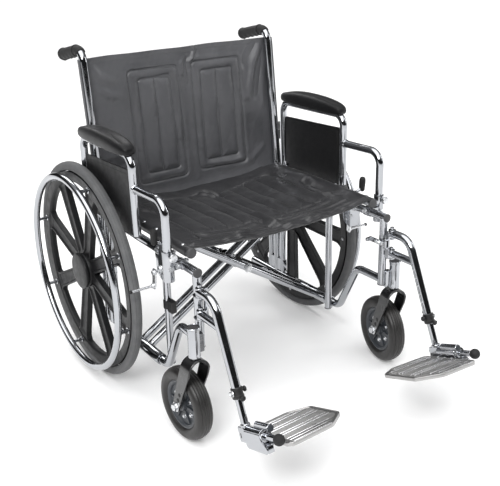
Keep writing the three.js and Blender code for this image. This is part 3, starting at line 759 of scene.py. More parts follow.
def caster_tyre(put, centre):
    w, r = CASTER_W, CASTER_R
    half = []
    for k in range(41):
        a = math.pi * k / 40
        along = w * math.cos(a)
        radius = 74 + (r - 74) * math.sin(a) ** 0.62
        for groove in (-12, -4, 4, 12):
            radius -= 1.7 * math.exp(-((along - groove) / 1.1) ** 2) if radius > r - 8 else 0
        half.append((radius, along))
    inside = [(63.2, w - 7), (66, w - 3.5), (70, w - 1)]
    profile = inside + half + [(radius, -along) for radius, along in reversed(inside)]
    put("caster_tyre", [turned(profile, centre, X, 112, closed=True)], CASTER_TYRE, "caster_tyre")


def caster_hub(put, centre):
    web = [(6.6, 20), (13, 20), (16, 18), (18, 9), (24, 7), (48, 7), (52, 9), (54, 14), (58, 16.5),
           (62.6, 16.5), (62.8, 14)]
    web = [(radius, -along) for radius, along in web] + web[::-1]
    parts = [turned(web, centre, X, 80, closed=True)]
    rib = soften([(-17, -2.2), (18, -2.2), (18, 2.2), (-17, 2.2)], 1, 2)
    for k in range(6):
        a = math.pi * k / 3
        along, across = Vector((0, math.cos(a), math.sin(a))), Vector((0, -math.sin(a), math.cos(a)))
        foot = centre + Vector((0, math.cos(a) * 34, math.sin(a) * 34))
        parts.append(slab(rib, foot - X * 12, along, across, 24, 0.6))
    put("caster_hub", parts, SLATE, "caster_hub")
    studs = []
    for k in range(6):
        a = math.pi * (k + 0.5) / 3
        at = centre + Vector((0, math.cos(a) * 37, math.sin(a) * 37))
        for s in (-1, 1):
            studs += hex_head(at + X * s * 7, X * s, 8, 3.4)
    put("caster_studs", studs, STEEL)


def fork_strap():
    """One thick strap bent into an arch, trailing and narrowing towards the axle."""
    leg_x, bend, h = CASTER_W + 5.4, 30, 2.6
    stations = []
    for z in (82.2, 84, 88, 95, 104, 120, 140, 160, 180, 196):
        t = (z - 95) / 119
        y = 51 - 50 * max(0, t) ** 1.05
        half = math.sqrt(max(4, 14 ** 2 - (95 - z) ** 2)) if z < 95 else 14 + 6.5 * min(1, t * 1.2)
        stations.append((Vector((-leg_x, y, z)), half, -X))
    for k in range(1, 10):
        a = math.pi * k / 20
        centre = Vector((-leg_x + bend - bend * math.cos(a), 2 - k * 0.1, 212 + bend * math.sin(a)))
        stations.append((centre, 20, Vector((-math.cos(a), 0, math.sin(a)))))
    flip = Vector((-1, 1, 1))
    mirror = [(centre * flip, half, normal * flip) for centre, half, normal in reversed(stations)]
    stations += [(Vector((0, 1, 242.2)), 20, Z), *mirror]
    verts = []
    for centre, half, normal in stations:
        for a, b in ((-half, -h + 0.8), (-half + 1, -h), (half - 1, -h), (half, -h + 0.8),
                     (half, h - 0.8), (half - 1, h), (-half + 1, h), (-half, h - 0.8)):
            verts.append(centre + Y * a + normal * b)
    return verts, stacked(8, len(stations))


# ---------------------------------------------------------------- armrest
def armrest(side, sign):
    put = putter(side, sign, "armrest_")
    armrest_frame(put)
    side_panel(put)
    pad = put("arm_pad", [pad_form(ARM_X)], PAD_VINYL, "arm_pad", sharp=60)
    put("pad_screws", [screw((ARM_X, y, 686.2), -Z, 4.5, 2) for y in (-60, -210)], STEEL)

    z, y = 482, ARM_STEP_Y - 13.9
    profile = [(0, 8), (9.5, 8), (10.5, 9), (10.5, 15), (9.3, 16.4), (4, 17), (0, 17)]
    shapes = [knob(profile, (ARM_X, y, z), -Y, 0.8, 36), rod((ARM_X, y, z), (ARM_X, y - 9, z), 4)]
    putter(side, sign, "armrest_lock_")("armrest_lock", shapes, STEEL, "armrest_lock")


def armrest_frame(put):
    x, rear, step, front = ARM_X, ARM_REAR_Y, ARM_STEP_Y, ARM_FRONT_Y
    hoop = arc_path([(x, rear, 420), (x, rear, 680), (x, front, 686), (x, front, 482)], 32)
    lower = arc_path([(x, front, 606), (x, step, 611), (x, step, 420)], 36)
    weld = [(10.6, 0), (12.6, 0.6), (12.4, 2.2), (10.6, 4)]
    bead = turned(weld, (x, front - 9.5, 606.4), -Y, 32, closed=True)
    shapes = [tube(hoop, ARM_TUBE_R, 36), tube(lower, ARM_TUBE_R, 36), bead]
    put("armrest_frame", shapes, CHROME, "armrest_frame")
    put("armrest_plug", [end_plug((x, front, 482), -Z, ARM_TUBE_R, 2)], PLUG_PLASTIC)


def side_panel(put):
    x, front = ARM_X, ARM_FRONT_Y + 12
    outer = [(-4, 489), (-4, 636), (front, 648), (front, 476), (-26, 476), (-26, 489)]
    inner = [(-14, 500), (-14, 627), (front + 10, 637), (front + 10, 488), (-36, 488), (-36, 500)]
    panel = [slab(soften(outer, 7, 4), (x - 2, 0, 0), Y, Z, 4, 0.8)]
    panel.append(slab(soften(inner, 6, 4), (x - 2.6, 0, 0), Y, Z, 5.2, 1.0))
    put("side_panel", panel, BLACK_PLASTIC, "side_panel")
    rivets = []
    for y in (2.5, front - 6.5):
        for z in (510, 620):
            rivets += [screw((x - 3, y, z), -X, 3.2, 1.6), screw((x + 3, y, z), X, 3.2, 1.6)]
    put("panel_rivets", rivets, STEEL)


def pad_form(x):
    """A moulded pad: flat underneath, crowned on top, with full round ends."""
    half_w, half_l, y0, base = 29, 141, -134, 687
    around, rows = 96, []
    # share of the outline, height above the base
    levels = [(0.0, 0.0), (0.5, 0.0), (0.8, 0.0), (0.9, 1.0), (0.96, 3.6), (0.99, 8), (1.0, 13),
              (0.99, 18), (0.955, 23.2), (0.885, 28.2), (0.77, 32.4), (0.6, 35.2), (0.35, 36.6), (0.0, 37.0)]
    verts = []
    for share, height in levels:
        if share == 0:
            rows.append([len(verts)])
            verts.append(Vector((x, y0, base + height)))
            continue
        rows.append(list(range(len(verts), len(verts) + around)))
        for k in range(around):
            a = 2 * math.pi * k / around
            c, s = math.cos(a), math.sin(a)
            across = half_w * math.copysign(abs(c) ** 0.62, c)
            along = half_l * math.copysign(abs(s) ** 0.62, s)
            inset_mm = (1 - share) * half_w
            scale_l = (half_l - inset_mm * 1.5) / half_l
            lift = 1 - 0.3 * (abs(along) / half_l) ** 2.4
            z = base + height * lift
            verts.append(Vector((x + across * share, y0 + along * scale_l, z)))
    return verts, ring_faces(rows)


# ---------------------------------------------------------------- wheel lock
def wheel_lock(side, sign):
    put = putter(side, sign, "wheel_lock_lever_")
    x, y, z = LOCK_PIVOT
    blade = [(y - 13, z - 14), (y + 12, z - 14), (y + 11, z + 12), (y, z + 74), (y - 17, z + 76), (y - 13, z)]
    lever = [slab(soften(blade, 5, 4), (x - 3, 0, 0), Y, Z, 4)]
    lever.append(rod((x - 1, y - 9, z + 69), (x + 20, y - 11, z + 80), 4.5))
    put("wheel_lock_lever", lever, CHROME, "wheel_lock_lever")
    grip = [(0, 0), (6.5, 0), (8, 3), (8.6, 14), (9.2, 28), (8.4, 36), (5.5, 40.5), (0, 42)]
    foot, upwards = (x + 19, y - 11, z + 71), Vector((0.02, -0.05, 1))
    put("lock_grip", [knob(grip, foot, upwards, 2, 32, 3)], GRIP)
    put("lock_nut", hex_head((x + 1.2, y, z), X, 13, 5), STEEL)

    put = putter(side, sign, "wheel_lock_shoe_")
    x, y, z = SHOE_PIVOT
    link = soften([(y - 9, z + 9), (y + 9, z + 9), (y + 16, z - 44), (y + 2, z - 49)], 5, 4)
    end = (y + 8, z - 39)
    shoe = [slab(link, (x - 2, 0, 0), Y, Z, 4), rod((x - 3, *end), (x + 66, *end), 3.2)]
    shoe += hex_head((x + 2.2, *end), X, 10, 4) + hex_head((x + 2.2, y, z), X, 11, 4)
    put("wheel_lock_shoe", shoe, STEEL, "wheel_lock_shoe")
    tip = [(0, 0), (3.8, 0), (4.4, 1), (4.4, 5), (3.4, 6.4), (0, 6.6)]
    put("lock_tip", [turned(tip, (x + 62, *end), X, 24)], GRIP)


# ---------------------------------------------------------------- legrest
LEG = (LEG_END - LEG_CORNER).normalized()
ALONG = Vector((0, -math.cos(HINGE_RISE), math.sin(HINGE_RISE)))  # the footplate hinge, towards the front
OVER = Vector((0, math.sin(HINGE_RISE), math.cos(HINGE_RISE)))  # square to it, upwards


def legrest(side, sign):
    put = putter(side, sign, "hanger_")
    hanger(put)
    hanger_fixings(put)
    leg_collar(put)
    hanger_latch(putter(side, sign, "hanger_latch_"))
    footrest(side, sign)


def hanger(put):
    x, y = HANGER_X, HANGER_Y
    route = arc_path([(302, y, 412), tuple(LEG_CORNER), tuple(LEG_END)], 45)
    bar_y = LEG_CORNER.y + (LEG_CORNER.z - 355) * LEG.y / -LEG.z
    shapes = [tube(route, TUBE_R, 36), rod((302, y, 355), (302, bar_y, 355), 10, 32)]
    for low, high in ((342.4, 366), (400.4, 423)):
        barrel = [(5.9, low), (9.4, low), (10, low + 0.8), (10, high - 0.8), (9.4, high), (5.9, high)]
        shapes.append(turned(barrel, (x, y, 0), Z, 36, closed=True))
    strap = soften([(y - 7, 345), (y + 7, 345), (y + 7, 421), (y - 7, 421)], 3, 3)
    shapes.append(slab(strap, (283, 0, 0), Y, Z, 5))
    shapes += [brick((286, y - 6, z), (x - 6, y + 6, z + 17), 2, 0.8) for z in (346, 402)]
    shapes += [brick((273, y - 4.5, z), (285, y + 4.5, z + 4), 1.5, 0.5) for z in (372, 396)]
    put("hanger", shapes, CHROME, "hanger")


def hanger_fixings(put):
    """The latch's pin, the leg bolt and the row of adjusting buttons down the leg."""
    fixings = [rod((277, HANGER_Y, 370), (277, HANGER_Y, 402), 2.2, 16)]
    fixings += hex_head(LEG_END - LEG * 16 + X * 13.5, X, 10, 6)
    button = [(0, 0), (3, 0), (3.2, 0.8), (0, 1.2)]
    for k in range(5):
        at = LEG_END - LEG * (60 + 22 * k) - X * (TUBE_R - 0.4)
        fixings.append(turned(button, at, -X, 16))
    put("hanger_fixings", fixings, STEEL)


def leg_collar(put):
    ring = [(11.4, -27), (13.2, -27), (14, -25.8), (14, -21), (12.8, -19.6), (12.8, -10), (14, -8.6),
            (14, -3), (13.2, -1.6), (11.4, -1.6)]
    button = [(0, 0), (3.5, 0), (3.5, 5), (6.4, 6.4), (6.8, 10), (5.4, 11.6), (0, 12)]
    parts = [turned(ring, LEG_END, LEG, 40, closed=True)]
    parts.append(knob(button, LEG_END - LEG * 10 - Y * 12, -Y, 0.8, 24))
    parts.append(knob(button, LEG_END - LEG * 18 - X * 11, -X, 0.8, 24))
    low = LEG_END - LEG * 23 + Vector((-6, 10, 0))
    parts.append(brick(low, low + Vector((10, 6.5, 9)), 2.5, 1))
    put("leg_collar", parts, BLACK_PLASTIC)


def hanger_latch(put):
    y = HANGER_Y
    lever = soften([(y - 4, 379), (y + 62, 379), (y + 62, 392), (y - 4, 392)], 4, 4)
    shapes = [slab(lever, (275, 0, 0), Y, Z, 4)]
    shapes.append(turned([(2.5, 377), (5, 377), (5, 395), (2.5, 395)], (277, y, 0), Z, 24, closed=True))
    shapes.append(brick((262, y + 54, 381), (277, y + 62, 390), 2.5, 0.8, "y"))
    put("hanger_latch", shapes, CHROME, "hanger_latch")
    heads = [screw((275, y + at, 386), -X, 5.2, 3) for at in (12, 34)]
    put("latch_rivets", heads + hex_head((275, y + 22, 386), -X, 9, 4), STEEL)


def hinge_frame(shape, turn=0.0):
    """From hinge axes (x, along the hinge backwards, up) to the chair, turned about the hinge."""
    basis = Matrix((X, -ALONG, OVER)).transposed()
    return moved(shape, basis @ Matrix.Rotation(turn, 3, "Y"), HINGE)


def footrest(side, sign):
    put = putter(side, sign, "footrest_tube_")
    inner = rod(LEG_END - LEG * 90, HINGE - ALONG * 64 + OVER * -2, 8.8, 28)
    ferrule = [(9, 12), (11.6, 12), (11.6, 17), (10.4, 19), (9, 19)]
    ring = turned(soften(ferrule, 0.6, 2), ORIGIN, Z, 36, closed=True)
    end = soften([(83, 13), (83, -24), (54.8, -24), (54.8, 13)], 5, 4)
    parts = [inner, hinge_frame(moved(ring, None, (0, 64, 0)))]
    parts.append(hinge_frame(slab(end, (-9.5, 0, 0), Y, Z, 21, 1.2)))
    put("footrest_tube", parts, CHROME, "footrest_tube")
    # A thin black sheet on the outer face of the chrome end, where its slot is: painted shade standing in for
    # the slot's recess, which is not cut.
    painted_slot_shade = soften([(76, -2), (76, -14), (72, -14), (72, -2)], 1.8, 3)
    put("footrest_slot", [hinge_frame(slab(painted_slot_shade, (11.4, 0, 0), Y, Z, 0.25, 0.05))], BLACK_PLASTIC)
    footplate(side, sign)


PLATE_TOP, PLATE_WIDTH, PLATE_FRONT, PLATE_REAR = -10, 185, -86, 98


def plate_outline():
    front, rear, far = PLATE_FRONT, PLATE_REAR, -PLATE_WIDTH
    corners = [(-13, rear - 4), (-13, front + 10), (-23, front), (far + 54, front),
               (far, front + 42), (far, rear - 28), (far + 50, rear), (-24, rear)]
    return soften(corners, 7, 5)


def reach_at(y, margin):
    """How far inboard the tread goes at this place along the foot."""
    front_cut = max(0, PLATE_FRONT + 42 + margin * 0.4 - y) * 1.28
    rear_cut = max(0, y - (PLATE_REAR - 28 - margin * 0.4)) * 1.78
    return -PLATE_WIDTH + margin + front_cut + rear_cut


def footplate_body():
    """The cast tray: a floor with a turned-down skirt."""
    edge = plate_outline()
    top, count = PLATE_TOP, len(edge)
    section = [(0.6, -20), (0, -19), (0, top - 2), (0.8, top - 1), (2.5, top - 0.6),
               (4.2, top - 1), (5, top - 3.4), (5, -20)]
    verts, rings = [], []
    for margin, z in section:
        rings.append(list(range(len(verts), len(verts) + count)))
        ring = inset(edge, margin) if margin else edge
        verts += [Vector((p.x, p.y, z)) for p in ring]
    floor = slab(inset(edge, 3), (0, 0, top - 7), X, Y, 4.2, 0.4)
    return [floor, (verts, ring_faces(rings, closed=True))]


def tread_bar(y, half, far, height, chamfer):
    """One rib across the foot, round at both ends."""
    end = reach_at(y, far)
    outline = soften([(-26, y - half), (end, y - half), (end, y + half), (-26, y + half)], half * 0.9, 3)
    return slab(outline, (0, 0, PLATE_TOP - 3), X, Y, height, chamfer)


def footplate_tread():
    """Fine ribs across the foot, with four pairs of bold ones among them."""
    rows = 40
    pairs = [PLATE_FRONT + 25 + k * (PLATE_REAR - PLATE_FRONT - 52) / 3 for k in range(4)]
    bold = [tread_bar(y + off, 1.7, 17, 3.6, 1.2) for y in pairs for off in (-6.5, 6.5)]
    fine = []
    for k in range(rows):
        y = PLATE_FRONT + 8 + k * (PLATE_REAR - PLATE_FRONT - 15) / (rows - 1)
        if min(abs(y - at - off) for at in pairs for off in (-6.5, 6.5)) > 2.4:
            fine.append(tread_bar(y, 1.0, 9, 1.4, 0.6))
    near, far = PLATE_FRONT + 1.2, PLATE_FRONT + 5
    lip = [(-26, near), (-PLATE_WIDTH + 55, near), (-PLATE_WIDTH + 55, far), (-26, far)]
    bold.append(slab(soften(lip, 1, 3), (0, 0, PLATE_TOP - 2), X, Y, 2.6, 0.9))
    return fine, bold


def footplate_hinge():
    """The sleeve round the pin, its outer wall, and the tube beside it that carries the bumper."""
    sleeve = [(5.2, -11), (14.6, -11), (15.4, -10), (15.4, 52), (14.6, 53), (5.2, 53)]
    shapes = [turned(sleeve, ORIGIN, Y, 48, closed=True)]
    ring = soften([(5.2, -20), (14.2, -20), (14.2, -12), (5.2, -12)], 0.9, 3)
    shapes.append(turned(ring, ORIGIN, Y, 48, closed=True))
    wall = [(53.4, 8), (53.4, -27), (46, -33), (-27, -35), (-33, -30), (-33, -20), (-18, -8), (-12, 8)]
    shapes.append(slab(soften(wall, 4, 4), (11.6, 0, 0), Y, Z, 3.8, 0.7))
    foot = soften([(-32, -34), (-32, -16), (-20, -10), (-20, -34)], 3, 3)
    shapes.append(slab(foot, (-4, 0, 0), Y, Z, 16, 1.2))
    shapes.append(brick((-12, -11, -19.5), (9.6, 52, -2), 2.5, 1, "y"))
    floor = soften([(-14, -30), (11, -30), (11, 50), (-14, 50)], 3, 3)
    shapes.append(slab(floor, (0, 0, -20), X, Y, 4, 0.6))
    shapes.append(brick((-15, -8, 4), (-3, 20, 16), 3, 1, "y"))
    shapes.append(rod((-11, 30, 16), (-11, -25, 16), 9, 40))
    return shapes


def footplate(side, sign):
    def tilted(shape):
        return hinge_frame(shape, PLATE_TILT)

    put = putter(side, sign, "footplate_", tilted)
    fine, bold = footplate_tread()
    put("footplate", footplate_body() + fine, ALUMINIUM, "footplate")
    put("footplate_ribs", bold, POLISHED)
    put("footplate_hinge", footplate_hinge(), CHROME)
    bumper = [(0, -24.6), (7.4, -24.6), (7.8, -26), (7, -28), (0, -28.6)]
    put("hinge_bumper", [knob(bumper, (-11, 0, 16), Y, 0.8, 32)], SLATE)
    put("footplate_screws", [screw((-19, y, PLATE_TOP), Z, 3.6, 2.2) for y in (-4, 20, 44)], STEEL)

    put = putter(side, sign, "footplate_", hinge_frame)
    pin = [rod((0, 86, 0), (0, -58, 0), 4.5, 24)]
    pin += [rod((0, -20.4, 0), (0, -57, 0), 8, 36), rod((0, 82.6, 0), (0, 86.4, 0), 8, 32)]
    put("footplate_pin", pin, CHROME, "footplate_pin")
    ball = [(0, -56), (6, -56.4), (8.4, -58.4)]
    for k in range(1, 15):
        a = math.pi * (0.22 + 0.78 * k / 14)
        ball.append((13.2 * math.sin(a), -68 + 13.2 * math.cos(a)))
    ball[-1] = (0, ball[-1][1])
    put("hinge_ball", [turned(ball, ORIGIN, Y, 40)], GRIP)


# ---------------------------------------------------------------- folding middle
BRACE_CENTRE_Z = LOWER_RAIL_Z + LOWER_RAIL_X * (SEAT_RAIL_Z - LOWER_RAIL_Z) / (LOWER_RAIL_X + SEAT_RAIL_X)


def brace(name, body, foot_sign, planes, sleeve, rail_side):
    """One pair of crossing legs, the sleeve they turn on and the seat rail they carry."""
    foot = Vector((foot_sign * LOWER_RAIL_X, 0, LOWER_RAIL_Z))
    head = Vector((-foot_sign * SEAT_RAIL_X, 0, SEAT_RAIL_Z))
    along = (head - foot).normalized()
    shapes = [rod(foot + Y * y + along * 10, head + Y * y - along * 7, 10.5, 36) for y in planes]
    shapes.append(collar(foot, Y, 12, 15.5, *sleeve, 0.8, 48))
    piece(f"{name}_v", shapes, CHROME, body, 1, [name])
    front, rear = head + Y * SEAT_FRONT_Y, head + Y * SEAT_REAR_Y
    rail = rod(rear, front, SEAT_RAIL_R, 36)
    piece(f"seat_rail_{rail_side}_v", [rail], CHROME, body, 1, [f"seat_rail_{rail_side}"])
    plugs = [end_plug(front, -Y, SEAT_RAIL_R + 2.2, 5), end_plug(rear, Y, SEAT_RAIL_R, 2)]
    piece(f"seat_rail_plugs_{rail_side}_v", plugs, PLUG_PLASTIC, body)
    bolts = []
    for y in (planes[0] - 22, planes[1] + 22):
        bolts += hex_head(foot + Vector((0, y, -15)), -Z, 9, 4)
    piece(f"{name}_bolts_v", bolts, STEEL, body)


def braces():
    brace("brace_leg_a", "brace_a", -1, (-201, -159), (-280, -140), "right")
    brace("brace_leg_b", "brace_b", 1, (-258, -134), (-280, -118), "left")
    z = BRACE_CENTRE_Z
    pin = [rod((0, -118, z), (0, -274, z), 5)]
    pin += hex_head((0, -269, z), -Y, 17, 7) + hex_head((0, -123, z), Y, 17, 7)
    piece("brace_pivot_bolt_v", pin, STEEL, "brace_b")
    washers = []
    for y in (-214, -148):
        ring = [(6, y), (16, y), (16, y + 2), (6, y + 2)]
        washers.append(turned(ring, (0, 0, z), Y, 32, closed=True))
    piece("brace_washers_v", washers, BLACK_PLASTIC, "brace_a")


# ---------------------------------------------------------------- slings
def segment_distance(px, pz, a, b):
    """Distance of many points from one straight stitch line."""
    ax, az = a
    bx, bz = b
    dx, dz = bx - ax, bz - az
    t = np.clip(((px - ax) * dx + (pz - az) * dz) / (dx * dx + dz * dz), 0, 1)
    return np.hypot(px - ax - t * dx, pz - az - t * dz)


def line_distance(px, pz, points, closed=False):
    pairs = list(zip(points, points[1:]))
    if closed:
        pairs.append((points[-1], points[0]))
    return np.min([segment_distance(px, pz, a, b) for a, b in pairs], axis=0)


def rounded_loop(corners, radius):
    return [tuple(p) for p in soften([Vector(c) for c in corners], radius, 5)]


def value_noise(px, pz, scale, seed):
    """Smooth repeatable noise from a few crossed waves."""
    rng = np.random.RandomState(seed)
    total = np.zeros_like(px)
    for _ in range(7):
        angle, phase, stretch = rng.uniform(0, 2 * math.pi), rng.uniform(0, 6.28), rng.uniform(0.6, 1.7)
        total += np.sin((px * math.cos(angle) + pz * math.sin(angle)) * stretch * 2 * math.pi / scale + phase)
    return total / 7


def crease(px, pz, points, width, height):
    """A soft ridge (or, with a negative height, a soft valley) along a line, fading at its ends."""
    (ax, az), (bx, bz) = points[0], points[-1]
    length = math.hypot(bx - ax, bz - az)
    t = ((px - ax) * (bx - ax) + (pz - az) * (bz - az)) / length ** 2
    fade = np.clip(1 - np.abs(2 * t - 1) ** 3, 0, 1)
    d = line_distance(px, pz, points)
    return height * fade * np.exp(-(d / width) ** 2)


def sheet_piece(name, front, back, material, stands_for=None):
    """A thin closed sheet from two grids of points with the same layout."""
    rows, columns = front.shape[:2]
    verts = np.concatenate([front.reshape(-1, 3), back.reshape(-1, 3)]) + np.array([0, AXLE_Y, 0])
    faces = []
    n = rows * columns
    for i in range(rows - 1):
        for j in range(columns - 1):
            a, d = i * columns + j, (i + 1) * columns + j
            b, c = a + 1, d + 1
            faces.append((a, b, c, d))
            faces.append((n + d, n + c, n + b, n + a))
    for i in range(rows - 1):
        a, b = i * columns, (i + 1) * columns
        faces.append((a, b, n + b, n + a))
        a, b = a + columns - 1, b + columns - 1
        faces.append((b, a, n + a, n + b))
    for j in range(columns - 1):
        faces.append((j + 1, j, n + j, n + j + 1))
        a = (rows - 1) * columns + j
        faces.append((a, a + 1, n + a + 1, n + a))
    made = build(name, (verts * MM).tolist(), faces, material, 60)
    if stands_for:
        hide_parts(stands_for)
    return made


BACK_QUILTS = [
    {"outer": [(-168, 825), (-10, 823), (-8, 508), (-164, 508)],
     "inner": [(-138, 799), (-36, 797), (-32, 535), (-136, 535)], "divider": [(-86, 798), (-86, 535)]},
    {"outer": [(36, 828), (198, 826), (196, 512), (34, 515)],
     "inner": [(64, 801), (172, 800), (170, 540), (60, 540)], "divider": [(116, 801), (114, 540)]},
]
# a line, its width and its height
BACK_CREASES = [
    ([(44, 880), (48, 858), (40, 838), (26, 826)], 5, 5.0),
    ([(56, 876), (58, 854), (52, 838)], 6, -3.5),
    ([(30, 852), (18, 830), (16, 800), (22, 760)], 5, -4.5),
    ([(20, 850), (6, 826), (4, 790)], 7, 3.0),
    ([(282, 872), (244, 800), (214, 690)], 11, 6.5),
    ([(284, 840), (262, 780), (244, 690)], 9, -5.5),
    ([(286, 800), (276, 740), (268, 660)], 9, 4.0),
    ([(270, 874), (220, 820), (204, 790)], 10, -4.0),
    ([(-284, 860), (-250, 820), (-200, 800)], 12, 4.0),
    ([(-278, 800), (-230, 770), (-190, 760)], 12, 3.0),
    ([(-280, 600), (-220, 606), (-185, 640)], 12, 3.5),
    ([(-282, 560), (-200, 572), (-150, 600)], 10, -3.0),
    ([(60, 528), (150, 520), (200, 530)], 9, 3.0),
    ([(270, 560), (220, 520), (190, 500)], 10, 3.0),
]


def back_relief(px, pz):
    """How far the sling's face stands forward of its plain shape."""
    relief = np.zeros_like(px)
    nearest = np.full_like(px, 1e9)
    inside = np.zeros_like(px)
    for quilt in BACK_QUILTS:
        outer, inner = rounded_loop(quilt["outer"], 16), rounded_loop(quilt["inner"], 10)
        for points, closed in ((outer, True), (inner, True), (quilt["divider"], False)):
            nearest = np.minimum(nearest, line_distance(px, pz, points, closed))
        (x0, z1), (x1, _), (_, z0), _ = quilt["outer"]
        within = (px > x0) & (px < x1) & (pz > z0) & (pz < z1)
        inside = np.maximum(inside, within.astype(float))
    relief += inside * 4.6 * (1 - np.exp(-(nearest / 10) ** 2))
    relief -= 3.2 * np.exp(-(nearest / 2.3) ** 2)
    relief += (1 - inside) * 1.8 * np.exp(-((nearest - 8) / 7) ** 2)
    slack, dents, grain = [value_noise(px, pz, *kind) for kind in ((230, 3), (80, 5), (28, 8))]
    relief += 3.6 * slack + 1.8 * dents + 0.5 * grain
    puckers = value_noise(px * 0.35, pz, 15, 31)
    relief += 0.7 * puckers * np.exp(-((nearest - 7) / 9) ** 2)
    for points, width, height in BACK_CREASES:
        relief += crease(px, pz, points, width, height * 1.35)
    relief -= 1.2 * np.exp(-((pz - 858) / 1.8) ** 2)
    return relief


BACK_LOW, BACK_HIGH = 465, 872
BACK_WRAP = 13.2  # radius of the sling round a cane


def back_skins(across, heights):
    """The front and the back of the sling, as grids of points."""
    s, z = np.meshgrid(across, heights)
    angle = np.clip(np.abs(s) - CANE_X, 0, None) / BACK_WRAP
    inside = angle == 0
    blend_in = np.clip((CANE_X - np.abs(s)) / 30, 0, 1)
    bow = 9 * np.clip(1 - (s / CANE_X) ** 2, 0, 1) - 1.0
    relief = back_relief(s, z) * blend_in
    hem = 0.9 * np.exp(-((z - BACK_HIGH) / 14) ** 4) + 0.9 * np.exp(-((z - BACK_LOW) / 14) ** 4)
    near_top = np.clip((z - BACK_HIGH + 60) / 60, 0, 1)
    sway = 3.0 * value_noise(s, z * 0.15, 260, 12) * blend_in * near_top
    sway = sway * np.clip((z - BACK_LOW) / (BACK_HIGH - BACK_LOW), 0, 1)
    skins = []
    for offset, lift in ((1.6, 1.0), (-1.6, -0.35)):
        radius = BACK_WRAP - offset
        x = np.where(inside, s, np.sign(s) * (CANE_X + radius * np.sin(angle)))
        y = np.where(inside, radius, radius * np.cos(angle))
        y = y + cane_lean(z) + np.where(inside, bow * blend_in, 0)
        y = y - lift * relief - np.sign(lift) * hem
        skins.append(np.stack([x, y, z + sway], axis=-1))
    return skins


def back_sling():
    step = 2.2
    total = CANE_X + BACK_WRAP * math.radians(115)
    height = BACK_HIGH - BACK_LOW
    across = np.linspace(-total, total, int(2 * total / step))
    front, rear = back_skins(across, np.linspace(BACK_LOW, BACK_HIGH, int(height / step)))
    first = int(np.argmax(across > -(CANE_X - 12)))
    last = len(across) - first
    for side, columns in (("left", slice(0, first + 1)), ("right", slice(last - 1, None))):
        band = sheet_piece(f"back_wrap_{side}_v", front[:, columns], rear[:, columns], BACK_VINYL)
        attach(band, "frame_" + side)
    middle = slice(first, last)
    made = sheet_piece("back_sling", front[:, middle], rear[:, middle], BACK_VINYL, "back")
    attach(made, "frame_left")
    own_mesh(made)


SEAT_CHANNELS = [(14, 216), (-216, -14)]
# a line, its width and its height
SEAT_CREASES = [
    ([(-8, -450), (-2, -380), (4, -300)], 11, 6.0),
    ([(-34, -440), (-30, -380), (-26, -330)], 8, -4.0),
    ([(60, -452), (90, -430), (140, -425)], 9, 4.5),
    ([(-150, -446), (-120, -420), (-90, -412)], 9, 4.0),
    ([(0, -120), (-14, -90), (-30, -60)], 10, 6.5),
    ([(20, -132), (6, -96), (-8, -52)], 8, -5.0),
    ([(272, -60), (230, -90), (200, -140)], 12, 4.0),
    ([(274, -360), (240, -350), (206, -300)], 12, 4.0),
    ([(276, -200), (244, -210), (222, -250)], 10, -3.0),
    ([(-272, -120), (-235, -160), (-210, -200)], 12, 4.0),
    ([(120, -200), (150, -260), (160, -320)], 16, 3.0),
    ([(-110, -180), (-90, -250), (-90, -330)], 16, 3.0),
]
SEAT_WRAP = SEAT_RAIL_R + 2.2
SEAT_EDGE, SEAT_BACK = SEAT_FRONT_Y + 6, SEAT_REAR_Y - 2


def seat_seams(x0, x1):
    """The stitch lines of one half of the seat: an outline, a line near the front, three bowed channels."""
    back_y, front_y = -58, -392
    skew = -34 if x0 > 0 else -6
    bow = 7 if x0 < 0 else -7
    outer = [(x0, back_y + skew), (x1, back_y), (x1, front_y + 12), (x0, front_y)]
    seams = [(rounded_loop(outer, 26), True)]
    seams.append(([(x0 + 30, front_y + 26), (x1 - 34, front_y + 34)], False))
    for k in range(1, 4):
        x = x0 + (x1 - x0) * k / 4
        start = back_y - 8 + skew * (1 - k / 4)
        line = []
        for t in np.linspace(0, 1, 7):
            line.append((x + bow * math.sin(math.pi * t), start + (front_y - back_y + 40) * t))
        seams.append((line, False))
    return seams


def seat_relief(px, py):
    """How far the seat's face stands above its plain shape."""
    relief = np.zeros_like(px)
    nearest = np.full_like(px, 1e9)
    for channel in SEAT_CHANNELS:
        for points, closed in seat_seams(*channel):
            nearest = np.minimum(nearest, line_distance(px, py, points, closed))
    relief += 3.9 * (1 - np.exp(-(nearest / 14) ** 2)) * (np.abs(px) < 232) * (py > -412)
    relief -= 2.8 * np.exp(-(nearest / 2.3) ** 2)
    slack, dents, grain = [value_noise(px, py, *kind) for kind in ((170, 21), (62, 22), (25, 27))]
    relief += 4.4 * slack + 1.3 * dents + 0.2 * grain
    for points, width, height in SEAT_CREASES:
        relief += crease(px, py, points, width, height * 1.4)
    return relief


def front_ripple(s, y, share):
    """The loose front edge: a ripple along it and the bead over the hem's cord."""
    wobble = np.sin(s / 17 + 2.2 * np.sin(s / 61)) + 0.5 * np.sin(s / 7.3 + 1.4 * np.sin(s / 29))
    ripple = share ** 1.5 * 2.4 * wobble * np.exp(-((s + 10) / 240) ** 4)
    bead = 6.5 * np.exp(-((y - SEAT_EDGE - 6) / 5.5) ** 2)
    bead = bead - 3.4 * np.exp(-((y - SEAT_EDGE - 18) / 3.0) ** 2)
    return ripple, bead * np.clip((SEAT_RAIL_X - 4 - np.abs(s)) / 10, 0, 1)


